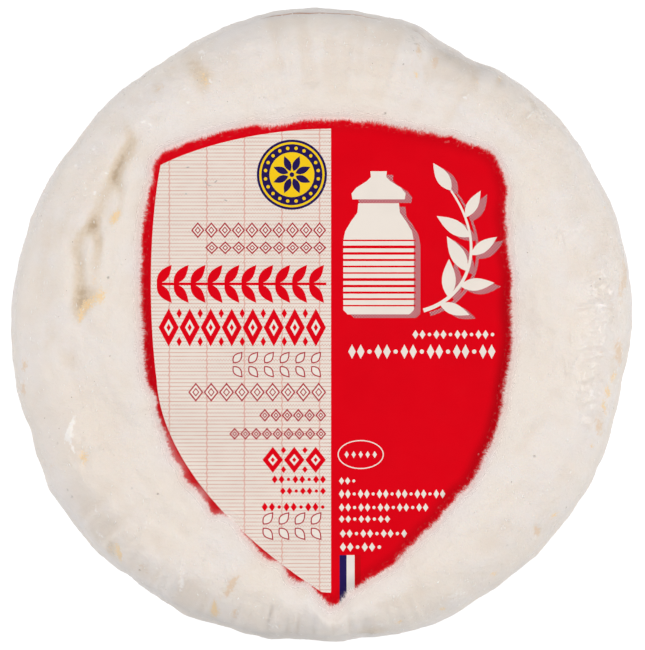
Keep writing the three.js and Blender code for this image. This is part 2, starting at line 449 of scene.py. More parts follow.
@dataclass(frozen=True)
class Relief:
    """What stands up from the top face or sinks into it, and what colours it, in millimetres."""

    ridge_out: float = 4.5
    ridge_wide: float = 3.2
    ridge_by: float = 0.32
    over_label: float = 0.75
    crease_share: float = 0.85
    folds: tuple[Fold, ...] = (
        Fold((
            (-41.2, 44.4, 0.8, 0), (-40.6, 41.3, 0.8, 0.35), (-39.7, 37.9, 0.9, 0.7),
            (-41.2, 34.9, 0.95, 1.1), (-42.3, 32.7, 0.95, 1.25), (-43.2, 30.3, 1, 0.9),
            (-44.2, 28.4, 1.2, 0.6), (-45.4, 26.3, 1.3, 0.5), (-46.4, 23.7, 1.2, 0.55),
            (-47.5, 20.8, 0.95, 1.1), (-49.9, 18.6, 0.9, 0.75), (-51, 15.7, 0.9, 0.7),
            (-50.2, 12.4, 0.95, 0.7), (-50.2, 9.4, 1, 0.7), (-50, 7, 1.1, 1.1), (-50.6, 1.1, 1.2, 0.3),
        )),
        Fold((
            (-47.3, 20.6, 0.9, 0.5), (-46.4, 17.6, 0.75, 0.9), (-46.4, 15.6, 0.8, 0.7),
            (-47.2, 10, 1.1, 0.25),
        )),
        Fold((
            (-27.4, 55.5, 1.6, 0.4), (-26.1, 53, 1.6, 0.7), (-24.7, 51.4, 1.6, 0.8), (-24.9, 47.4, 1.6, 0.2),
        )),
        Fold(((-53.6, 22.3, 1.6, 0.1), (-53.9, 19.2, 1.4, 0.3), (-54.4, 15.7, 1.6, 0.1))),
        Fold((
            (-42.9, 30.6, 0.9, 0.5), (-41.8, 28.2, 0.8, 0.45), (-41.6, 24.8, 0.8, 0.2), (-42.4, 21.5, 0.8, 0),
        )),
        Fold(((-38.6, 41.4, 1, 0), (-38.2, 38.6, 1, 0.25), (-39.2, 36, 1, 0.3), (-40, 33, 1.2, 0))),
        Fold(((-55.6, 24.3, 1.2, 0), (-57.4, 17, 1.3, 0.3), (-58.6, 9, 1.4, 0.25), (-58, 1, 1.4, 0))),
        Fold(((-48.5, 33.5, 1.1, 0), (-50.8, 28, 1.2, 0.25), (-52.6, 22.6, 1.1, 0.2), (-53.6, 18, 1, 0))),
    )
    hollows: Ovals = ovals(
        (-48.6, 5.2, 3.6, 1.8, 48, 0.7), (-42.9, 22.4, 2, 1.3, 60, 0.5), (-34, 48.8, 2, 1.5, 80, 0.35),
        (-31.3, 52.6, 1.8, 1.2, 60, 0.3), (-56.4, -2, 4, 1.6, 80, 0.3), (-51.9, -7.4, 3.4, 1.6, 100, 0.3),
        (-49.4, -27.5, 1.8, 1, 95, 0.25), (-43.6, -46.4, 3, 1.3, 100, 0.6), (-22.4, -58.8, 2, 1.2, 85, 0.4),
        (-18.9, -54, 3.6, 1.3, 53, 0.25), (19.5, 51.6, 1.4, 0.8, 110, 0.3), (26.8, 56.2, 4.2, 2, 150, 0.8),
        (31.5, 51.5, 3, 1.4, 100, 0.4), (36.7, 51, 2, 1.2, 75, 0.4), (43.2, 46.8, 2.2, 1.2, 130, 0.7),
        (49.8, 40.2, 2.2, 1, 130, 0.5), (60.2, -9.6, 4.4, 1.2, 100, 0.35), (57.6, -20.4, 4.2, 1, 104, 0.35),
        (44.4, -42.6, 1.4, 0.9, 110, 0.5), (10, -63.8, 3.6, 1.4, 10, 0.7), (-58.6, -14.5, 3.2, 1.6, 60, 0.25),
        (3, 61.4, 1.6, 0.6, 30, 0.25),
    )
    mounds: Ovals = ovals(
        (-28.4, 47.9, 3.2, 2.2, 60, 0.45), (-35.9, 49.6, 1.8, 1.3, 40, 0.35),
        (-25.2, 56.8, 2.2, 1.4, 20, 0.3), (-48.6, 14.2, 2.6, 0.9, 88, 0.35), (-39.5, 27, 6.5, 2.6, 70, 0.35),
        (-52.2, -22.2, 4.4, 0.9, 80, 0.4), (27.6, -55.9, 2.6, 2, 30, 0.5), (12.2, -61.9, 2, 1.2, 10, 0.3),
        (51.8, 19.5, 2.6, 0.5, 40, 0.22), (58.6, 0.5, 3.4, 0.8, 70, 0.3), (56.4, 10.6, 2.6, 0.7, 35, 0.25),
        (55, 4, 2.2, 0.6, 20, 0.2), (52, -8.2, 2.4, 0.9, 60, 0.25), (43.8, 44, 2.4, 0.4, 50, 0.3),
        (29.6, 47, 1.6, 0.6, 30, 0.2), (-47, 36.6, 0.8, 0.6, 0, 0.35), (-51, 32.6, 0.7, 0.6, 0, 0.3),
        (-29.4, -53, 4.5, 0.9, 84, 0.35), (-36.5, -41, 5.5, 0.8, 75, 0.3), (-31, -38.5, 5, 0.8, 70, 0.25),
        (-43.5, -36, 5, 0.9, 78, 0.25), (-24, -49.5, 4.5, 0.8, 80, 0.25),
    )
    amber: Ovals = ovals(
        (-42.85, 22.3, 1.7, 0.9, 62, 0.95), (-47.3, 9.4, 1.2, 0.9, 90, 0.35), (-46, 5.9, 1.9, 1.2, 70, 0.75),
        (-48.8, 4.1, 1.9, 1, 50, 0.95), (-50, 1.6, 1.3, 0.6, 80, 0.8), (-24.3, 50.9, 1.9, 0.9, 110, 0.6),
        (-49.4, -27.5, 1.7, 0.9, 95, 0.75), (-42.1, -47.2, 2.1, 0.6, 100, 1), (-44, -46.2, 1, 0.9, 0, 0.35),
        (-22.4, -58, 1.3, 0.4, 85, 1.1), (-22.3, -59.6, 1.2, 1, 60, 0.8), (-8.9, -62.4, 0.5, 0.4, 0, 0.5),
        (15.8, -61.5, 0.8, 0.4, 30, 0.7), (24.9, -58.8, 0.7, 0.4, 0, 0.8), (35.5, -51.5, 0.8, 0.45, 20, 0.8),
        (19.5, 51.6, 0.9, 0.35, 110, 0.85), (36.7, 51.1, 1.4, 0.6, 75, 0.75),
        (31.4, 53.7, 1.2, 0.5, 150, 0.45), (31.8, 50.2, 1.2, 0.8, 90, 0.35), (58.5, 24.2, 0.35, 0.3, 0, 0.9),
        (60.2, -10.7, 1.2, 0.6, 60, 0.9), (58.9, -13.8, 1.3, 0.6, 100, 0.9), (58.2, -17, 1.8, 0.45, 100, 0.9),
        (55.8, -25, 0.5, 0.4, 0, 0.8), (48, -39.4, 1.2, 0.4, 40, 0.8),
    )
    straw: Ovals = ovals(
        (-33.7, 49.3, 1.3, 0.9, 60, 0.45), (-35.1, 46.3, 1.8, 1.2, 60, 0.35), (-31.3, 52.6, 1.8, 1, 60, 0.3),
        (-18.9, -54, 3.4, 1, 53, 0.8), (-18.2, -59.7, 1.1, 0.7, 90, 0.8), (9.1, 61.5, 1.3, 0.5, 80, 0.4),
        (19.9, 56.9, 1.8, 0.7, 95, 0.7), (23.4, 54.3, 1.9, 0.9, 85, 0.7), (33.2, 46.6, 1.2, 0.5, 90, 0.3),
        (62.7, 13, 2.4, 0.9, 95, 0.7), (62.4, 9.4, 2.2, 1, 88, 0.6), (61.8, 6, 2.8, 0.8, 88, 0.5),
        (61.3, -6, 3.2, 1.2, 95, 0.85), (57.1, -21.1, 2.3, 0.9, 100, 0.8), (44.4, -42.6, 1.5, 0.8, 100, 0.8),
        (-61.7, -8.4, 1.6, 0.7, 88, 0.8), (-62, -13.2, 1.8, 0.7, 92, 0.8), (-52, 38, 2.6, 1.2, 50, 0.25),
        (-56.2, -29, 2.6, 1.6, 60, 0.3), (-37, -50.5, 3, 1.2, 140, 0.35), (57.6, -6.2, 1.2, 0.5, 100, 0.4),
        (3, 61.2, 2, 0.5, 20, 0.3),
    )
    # Whiter patches: whiter mould on mounds and ridges, partly a painted highlight on their tops, and small
    # painted glints beside the pinholes on the upper left
    chalk: Ovals = ovals(
        (-51.9, -20.6, 2.4, 0.5, 68, 0.9), (-52.4, -22.9, 1.3, 0.8, 80, 1),
        (-51.6, -25.5, 1.6, 0.35, 120, 0.8), (-29, -53.2, 2.4, 0.7, 90, 0.5),
        (-45.9, -43.3, 1.2, 0.4, 150, 0.7), (27.6, -55.9, 2.4, 1.6, 30, 0.45),
        (12.2, -61.9, 1.6, 0.8, 10, 0.4), (-23.2, 50.7, 1.2, 0.3, 95, 0.8), (-35.9, 49.5, 0.9, 0.6, 40, 0.6),
        (-24.9, 56.5, 1, 0.6, 20, 0.6), (-28.4, 48.7, 0.7, 0.4, 60, 0.6), (-27.8, 46.2, 0.7, 0.4, 60, 0.6),
        (43.6, 44.2, 2.2, 0.3, 50, 0.7), (29.5, 47, 1.4, 0.4, 30, 0.6), (58.6, 0.5, 2.8, 0.35, 75, 0.6),
        (57, 9.6, 1.8, 0.3, 40, 0.6), (51.8, 19.5, 2.2, 0.3, 40, 0.5), (52, -8.2, 1.6, 0.6, 60, 0.5),
        (-47.3, 36.6, 0.55, 0.4, 40, 0.9), (-48.2, 33.9, 0.5, 0.35, 60, 0.8), (-51.1, 32.8, 0.5, 0.4, 0, 0.9),
        (-49, 27.5, 1, 0.3, 88, 0.8), (-47.1, 27.1, 0.9, 0.3, 92, 0.8), (-37.1, 42, 0.5, 0.4, 0, 0.8),
        (-35.5, 41.4, 0.5, 0.4, 0, 0.8), (-44.8, 31.4, 0.5, 0.4, 0, 0.8), (-29.2, -52.5, 4, 0.6, 84, 0.3),
        (-36.5, -41, 3, 0.4, 75, 0.4), (-47, -38, 2, 0.4, 100, 0.5),
    )
    dim: Ovals = ovals((-48, -22, 13, 9, 105, 0.7), (-15, 54, 10, 5, 15, 0.4))
    crinkled: Ovals = ovals(
        (57.5, 3, 15, 5.5, 84, 1), (56, -16, 8, 4, 110, 0.7), (51, 20, 5, 3, 50, 0.5),
        (44, 45, 5, 3, 130, 0.8), (52.5, 36, 6, 3, 125, 0.6), (-50, -26, 9, 4, 95, 0.5),
        (-43, -45, 6, 4, 130, 0.5), (-33, 50, 6, 4, 40, 0.4),
    )
    # Painted shade in dents, in pinholes and along the bottom rim
    ash: Ovals = ovals(
        (26.8, 56.4, 2.6, 1, 150, 0.5), (20, 58.6, 4.6, 1.6, 158, 0.35), (43.4, 46.9, 1.8, 0.9, 140, 0.4),
        (33.5, 53, 1.6, 0.7, 150, 0.3), (-44.2, -45.6, 0.7, 0.5, 0, 0.5), (-23, 50.9, 0.4, 0.3, 0, 0.3),
        (10, -64.4, 3, 0.7, 8, 0.4), (38.4, -45.5, 0.3, 0.25, 0, 0.5), (-50.4, 32.3, 0.4, 0.35, 0, 0.6),
        (-48, 36, 0.4, 0.35, 0, 0.5), (-52.9, -34.1, 0.4, 0.4, 0, 0.55), (-51.9, -35.4, 0.4, 0.4, 0, 0.55),
        (-39.4, -33.9, 0.4, 0.4, 0, 0.45), (-49.6, -17.1, 0.4, 0.4, 0, 0.45),
        (-56.4, -23.1, 0.4, 0.4, 0, 0.45), (-55, -24.6, 0.4, 0.4, 0, 0.45), (26.8, 55, 2, 0.7, 150, 0.3),
        (-10, -64.2, 9, 0.7, 0, 0.28),
    )

    def creases(self, x: Array, y: Array) -> Array:
        """Depth of the folds and hollows at each place."""
        return sum(f.depth(x, y) for f in self.folds) + felt(self.hollows, x, y)

    def height(self, wheel: WheelShape, paper: PaperShape, x: Array, y: Array, past: Array) -> Array:
        """Height of the rind's top face.

        Args:
            wheel: The wheel's shape.
            paper: The paper's shape.
            x: How far along +X.
            y: How far along +Y.
            past: How far past the rind's own edge over the paper.

        Returns:
            Heights over the base.
        """
        ridge = self.ridge_by * bell((past - self.ridge_out) / self.ridge_wide)
        climb = mix(self.over_label - paper.sink, 0.0, smooth(past / self.ridge_out))
        rise = wheel.slow_height(x, y) + climb + ridge + felt(self.mounds, x, y)
        return rise - self.crease_share * self.creases(x, y)


# Working with meshes and node trees


@dataclass
class Skin:
    """A mesh in the making: points in millimetres, faces, and values for each point."""

    points: Array
    faces: Faces
    values: dict[str, Array] = field(default_factory=dict)

    def make(self, name: str) -> Object:
        """Makes the object, in metres and in the frame's place.

        Args:
            name: The object's name.

        Returns:
            The new object, linked to the scene.
        """
        mesh = bpy.data.meshes.new(name)
        mesh.from_pydata((self.points + OFFSET) * MM, [], self.faces)
        mesh.shade_smooth()
        for key, value in self.values.items():
            mesh.attributes.new(key, "FLOAT", "POINT").data.foreach_set("value", value.astype(np.float32))
        return linked(name, mesh)


def ring_faces(rings: int, sides: int, closed: bool = True) -> Faces:
    """Faces between rings of points that follow on from each other.

    Args:
        rings: How many rings.
        sides: How many points in each.
        closed: Whether each ring closes on itself.

    Returns:
        Four-sided faces.
    """
    here = np.arange(rings - 1)[:, None] * sides
    i = np.arange(sides if closed else sides - 1)
    after = (i + 1) % sides
    quads = np.stack([here + i, here + sides + i, here + sides + after, here + after], axis=-1)
    return [tuple(q) for q in quads.reshape(-1, 4).tolist()]


class Wiring:
    """Adds nodes to one tree and joins them."""

    def __init__(self, tree: bpy.types.NodeTree) -> None:
        """Takes the tree that the nodes go into."""
        self.tree = tree

    def node(self, kind: str, inputs: dict | None = None, **settings: object) -> bpy.types.Node:
        """Adds a node.

        Args:
            kind: The node's type.
            inputs: For a socket's name or number, the socket to join it to or its value.
            **settings: The node's own properties.

        Returns:
            The node.
        """
        made = self.tree.nodes.new(kind)
        for key, value in settings.items():
            setattr(made, key, value)
        for key, value in (inputs or {}).items():
            self.join(value, made.inputs[key])
        return made

    def join(self, value: object, socket: Socket) -> None:
        """Joins a socket to another, or gives it a value.

        Args:
            value: The value or the other socket.
            socket: The input.
        """
        if isinstance(value, Socket):
            self.tree.links.new(value, socket)
        else:
            socket.default_value = value

    def out(self, kind: str, inputs: dict | None = None, **settings: object) -> Socket:
        """Adds a node and gives its first output."""
        return self.node(kind, inputs, **settings).outputs[0]

    def math(self, operation: str, *terms: object, clamp: bool = False) -> Socket:
        """The result of a sum on numbers, each a value or a socket."""
        return self.out("ShaderNodeMath", dict(enumerate(terms)), operation=operation, use_clamp=clamp)

    def times(self, first: object, *others: object) -> Socket:
        """Numbers multiplied together.

        Args:
            first: The first number.
            others: The others.

        Returns:
            Their product.
        """
        for other in others:
            first = self.math("MULTIPLY", first, other)
        return first

    def plus(self, first: object, second: object) -> Socket:
        """The sum of two numbers."""
        return self.math("ADD", first, second)

    def minus(self, first: object, second: object) -> Socket:
        """The first number less the second."""
        return self.math("SUBTRACT", first, second)

    def times_plus(self, first: object, by: object, more: object) -> Socket:
        """A number multiplied by the second, plus the third."""
        return self.math("MULTIPLY_ADD", first, by, more)

    def vector(self, operation: str, *terms: object) -> Socket:
        """The result of a sum on vectors, each a value or a socket."""
        return self.out("ShaderNodeVectorMath", dict(enumerate(terms)), operation=operation)

    def scaled(self, vector: Socket, by: object) -> Socket:
        """A vector made longer by a number."""
        return self.out("ShaderNodeVectorMath", {0: vector, "Scale": by}, operation="SCALE")

    def joined(self, x: object = 0.0, y: object = 0.0, z: object = 0.0) -> Socket:
        """A vector of three numbers."""
        return self.out("ShaderNodeCombineXYZ", {0: x, 1: y, 2: z})

    def placed(self, points: Socket, thing: Socket, turn: Socket, size: Socket) -> Socket:
        """A thing at each of the points, turned and sized."""
        inputs = {"Points": points, "Instance": thing, "Rotation": turn, "Scale": size}
        return self.out("GeometryNodeInstanceOnPoints", inputs)

    def parted(self, vector: Socket) -> Sequence[Socket]:
        """The three numbers of a vector."""
        return self.node("ShaderNodeSeparateXYZ", {0: vector}).outputs

    def noise(self, vector: Socket, size: float, detail: float = 2.0, rough: float = 0.5) -> Socket:
        """Soft noise, 0 to 1."""
        inputs = {"Vector": vector, "Scale": 1.0 / size, "Detail": detail, "Roughness": rough}
        return self.out("ShaderNodeTexNoise", inputs)

    def ramp(self, value: Socket, low: object, high: object, start: float = 0.0, end: float = 1.0) -> Socket:
        """A smooth climb from start, where value is low, to end, where it is high."""
        inputs = {"Value": value, "From Min": low, "From Max": high, "To Min": start, "To Max": end}
        return self.out("ShaderNodeMapRange", inputs, interpolation_type="SMOOTHSTEP")

    def blend(self, share: object, first: object, second: object) -> Socket:
        """The colour that lies this share of the way from the first to the second.

        Args:
            share: The share.
            first: The colour at 0.
            second: The colour at 1.

        Returns:
            The colour.
        """
        colours = {0: share}
        for place, colour in ((6, first), (7, second)):
            colours[place] = (*colour, 1.0) if isinstance(colour, tuple) else colour
        return self.node("ShaderNodeMix", colours, data_type="RGBA").outputs[2]


class Effect(enum.Enum):
    """The shader node groups that more than one finish uses."""

    MOTTLE = "mottle"
    FELT = "felt"
    TOOTH = "paper_tooth"


class Effects:
    """Makes each shader node group once and places it in materials."""

    SOCKETS = {
        Effect.MOTTLE: (("Size", 8.0), ("Low", 0.4), ("High", 0.6), ("Shift", 0.0)),
        Effect.FELT: (("Grain size", 0.35), ("Lump size", 1.4), ("Lump share", 0.6)),
        Effect.TOOTH: (("Fibre size", 0.12), ("Cloud size", 3.0)),
    }

    def __init__(self) -> None:
        """Makes the groups."""
        self.groups = {effect: self._make(effect) for effect in Effect}

    def _make(self, effect: Effect) -> bpy.types.NodeTree:
        """Makes one group: its sockets, and the nodes between them.

        Args:
            effect: Which one.

        Returns:
            The group.
        """
        tree = bpy.data.node_groups.new(effect.value, "ShaderNodeTree")
        tree.interface.new_socket("Vector", in_out="INPUT", socket_type="NodeSocketVector")
        for name, value in self.SOCKETS[effect]:
            made = tree.interface.new_socket(name, in_out="INPUT", socket_type="NodeSocketFloat")
            made.default_value = value
        tree.interface.new_socket("Value", in_out="OUTPUT", socket_type="NodeSocketFloat")
        wiring = Wiring(tree)
        given = wiring.node("NodeGroupInput").outputs
        makers = {Effect.MOTTLE: self._mottle, Effect.FELT: self._felt, Effect.TOOTH: self._tooth}
        wiring.node("NodeGroupOutput", {0: makers[effect](wiring, given)})
        return tree

    @staticmethod
    def _scaled_noise(wiring: Wiring, vector: object, size: object, detail: float, rough: float) -> Socket:
        """Noise whose size is a socket of the group."""
        place = wiring.scaled(vector, wiring.math("DIVIDE", 1.0, size))
        return wiring.noise(place, 1.0, detail, rough)

    def _mottle(self, wiring: Wiring, given: object) -> Socket:
        """Cloudy patches, 0 to 1, with an edge between Low and High.

        Args:
            wiring: The group's wiring.
            given: Its inputs.

        Returns:
            The share.
        """
        place = wiring.vector("ADD", given["Vector"], wiring.joined(z=given["Shift"]))
        cloud = self._scaled_noise(wiring, place, given["Size"], 3.0, 0.55)
        return wiring.ramp(cloud, given["Low"], given["High"])

    def _felt(self, wiring: Wiring, given: object) -> Socket:
        """The height of a short felted nap over soft lumps.

        Args:
            wiring: The group's wiring.
            given: Its inputs.

        Returns:
            The height.
        """
        grain = self._scaled_noise(wiring, given["Vector"], given["Grain size"], 2.0, 0.6)
        lump = self._scaled_noise(wiring, given["Vector"], given["Lump size"], 2.0, 0.5)
        share = wiring.times(lump, given["Lump share"])
        return wiring.times_plus(grain, wiring.minus(1.0, given["Lump share"]), share)

    def _tooth(self, wiring: Wiring, given: object) -> Socket:
        """The tooth of printed paper: fine fibres under faint clouds.

        Args:
            wiring: The group's wiring.
            given: Its inputs.

        Returns:
            The height.
        """
        fibre = self._scaled_noise(wiring, given["Vector"], given["Fibre size"], 1.0, 0.5)
        cloud = self._scaled_noise(wiring, given["Vector"], given["Cloud size"], 2.0, 0.5)
        return wiring.times_plus(fibre, 0.6, wiring.times(cloud, 0.4))

    def place(self, wiring: Wiring, effect: Effect, vector: Socket, **values: float) -> Socket:
        """Places a group in a material."""
        inputs = {"Vector": vector} | {k.capitalize().replace("_", " "): v for k, v in values.items()}
        return wiring.out("ShaderNodeGroup", inputs, node_tree=self.groups[effect])


class Finish:
    """A material in the making, with a Principled shader and millimetres on the piece."""

    def __init__(self, name: str) -> None:
        """Makes the material and its first nodes.

        Args:
            name: The material's name.
        """
        self.material = bpy.data.materials.new(name)
        self.material.use_nodes = True
        self.wiring = Wiring(self.material.node_tree)
        self.shader = self.material.node_tree.nodes["Principled BSDF"]
        place = self.wiring.node("ShaderNodeTexCoord").outputs["Object"]
        self.mm = self.wiring.scaled(place, 1.0 / MM)

    def value(self, name: str) -> Socket:
        """A value that the piece carries for each of its points."""
        return self.wiring.node("ShaderNodeAttribute", attribute_name=name).outputs["Fac"]

    def set(self, **values: object) -> None:
        """Sets the shader's sockets, with _ for a space, to sockets or constants."""
        for key, value in values.items():
            socket = self.shader.inputs[key.replace("_", " ")]
            is_colour = socket.type == "RGBA" and isinstance(value, tuple)
            self.wiring.join((*value, 1.0) if is_colour else value, socket)

    def bump(self, height: Socket, distance: float, strength: float = 1.0) -> None:
        """Lets a height, 0 to 1, tilt the surface."""
        inputs = {"Height": height, "Distance": distance * MM, "Strength": strength}
        self.set(Normal=self.wiring.out("ShaderNodeBump", inputs))


# Finishes


@dataclass(frozen=True)
class RindFinish:
    """The white mould rind: cloudy whites, straw and painted shade in the creases and hollows, amber spots,
    tiny pits in painted shade, whiter patches with painted glints, and painted shade on the wall and in
    dents.
    """

    warm: Colour = (0.86, 0.78, 0.71)
    cool: Colour = (0.85, 0.79, 0.755)
    # White of the whiter mould, partly painted highlight and glints
    chalk: Colour = (0.95, 0.90, 0.86)
    cream: Colour = (0.80, 0.70, 0.61)
    tan: Colour = (0.72, 0.59, 0.45)
    crease: Colour = (0.50, 0.37, 0.24)
    straw: Colour = (0.80, 0.63, 0.48)
    amber: Colour = (0.90, 0.68, 0.42)
    orange: Colour = (0.98, 0.62, 0.20)
    # Grey of the painted shade in dents, pinholes and along the bottom rim
    ash: Colour = (0.42, 0.39, 0.36)
    # Dark of the painted shade in the pinholes
    pit: Colour = (0.36, 0.31, 0.27)
    blush: Colour = (0.55, 0.05, 0.07)
    # Grey of the painted shade on the wall
    wall: Colour = (0.60, 0.555, 0.53)
    seam: Colour = (0.52, 0.20, 0.08)
    scatter: float = 0.12

    def make(self, effects: Effects) -> Material:
        """Builds the material.

        Args:
            effects: The shared effects.

        Returns:
            The material.
        """
        f = Finish("rind_bloom")
        w, mm = f.wiring, f.mm
        broad = effects.place(w, Effect.MOTTLE, mm, size=17.0, low=0.38, high=0.62)
        middling = effects.place(w, Effect.MOTTLE, mm, size=5.5, low=0.45, high=0.72, shift=40.0)
        ragged = effects.place(w, Effect.MOTTLE, mm, size=0.8, low=0.25, high=0.75, shift=90.0)
        crumbs = effects.place(w, Effect.MOTTLE, mm, size=0.42, low=0.35, high=0.65, shift=33.0)
        deep = w.times(f.value("crease"), w.times_plus(ragged, 0.35, 0.65))
        spot = self._edged(w, f.value("amber"), crumbs, 0.22, 0.85)
        speck = w.ramp(w.noise(mm, 0.3, 1.0), 0.55, 0.66)
        pit = self._pits(w, mm)
        colour = self.warm
        for share, tint in (
            (broad, self.cool),
            (w.times(middling, 0.32), self.cream),
            # Darker cream in the hollows of the sweeps and pleats, as painted shade, and in the dim ovals
            (w.times(f.value("low"), 0.62), self.cream),
            # Tan and brown in the creases: the thinner mould's colour, with painted shade of the folds
            (w.ramp(deep, 0.03, 0.6, 0.0, 0.75), self.tan),
            (w.ramp(deep, 0.45, 1.35, 0.0, 0.8), self.crease),
            (self._edged(w, f.value("straw"), ragged, 0.25, 0.8), self.straw),
            # Painted shade in dents, pinholes and along the bottom rim
            (self._edged(w, f.value("ash"), ragged, 0.2, 1.0), self.ash),
            # Whiter mould on mounds and ridges, partly painted highlight, and small painted glints
            (self._edged(w, f.value("chalk"), ragged, 0.25, 0.7), self.chalk),
            (w.times(spot, 0.9), self.amber),
            (w.times(speck, w.times(spot, 0.55)), self.orange),
            # Painted shade on the wall below the rim
            (w.times(f.value("wall"), w.times_plus(middling, 0.7, 0.65)), self.wall),
            (f.value("seam"), self.seam),
            (f.value("blush"), self.blush),
            # Pinholes darkened with painted shade
            (w.times(pit, 0.5), self.pit),
        ):
            colour = w.blend(share, colour, tint)
        f.set(Base_Color=colour, Specular_IOR_Level=0.35, Sheen_Weight=0.25, Sheen_Roughness=0.55)
        f.set(Subsurface_Weight=w.times(f.value("depth"), self.scatter))
        f.set(Subsurface_Scale=1.4 * MM, Subsurface_Radius=(1.0, 0.72, 0.5))
        f.set(Roughness=w.ramp(middling, 0.0, 1.0, 0.86, 0.66))
        f.set(Coat_Weight=w.math("MULTIPLY", f.value("crinkle"), 0.62, clamp=True), Coat_Roughness=0.28)
        felt = effects.place(w, Effect.FELT, mm, grain_size=0.32, lump_size=1.3, lump_share=0.62)
        f.bump(w.minus(felt, w.times(pit, 0.5)), 0.34, 0.9)
        return f.material

    @staticmethod
    def _edged(w: Wiring, value: Socket, ragged: Socket, low: float, high: float) -> Socket:
        """A smooth spot whose edge is broken up by fine patches."""
        broken = w.times_plus(w.minus(ragged, 0.5), 0.5, value)
        return w.times(w.ramp(broken, low, high), w.ramp(value, 0.02, 0.2))

    @staticmethod
    def _pits(w: Wiring, mm: Socket) -> Socket:
        """Pinholes, darkened as painted shade: one in some of the cells that the surface is divided into.

        Args:
            w: The wiring.
            mm: Places in millimetres.

        Returns:
            How much of a pit each place is.
        """
        cells = w.node("ShaderNodeTexVoronoi", {"Vector": mm, "Scale": 1.0 / 3.4})
        chosen = w.math("GREATER_THAN", w.out("ShaderNodeSeparateColor", {0: cells.outputs["Color"]}), 0.82)
        return w.times(chosen, w.ramp(cells.outputs["Distance"], 0.045, 0.085, 1.0, 0.0))


class Ink(enum.Enum):
    """What each place on the paper is printed with."""

    RED = "red"
    PANEL = "panel"
    CREAM = "cream"
    LINE = "line"
    ROSE = "rose"
    NAVY = "navy"
    YELLOW = "yellow"
    WHITE = "white"
    CRIMSON = "crimson"
    BACK = "back"
    DUST = "dust"


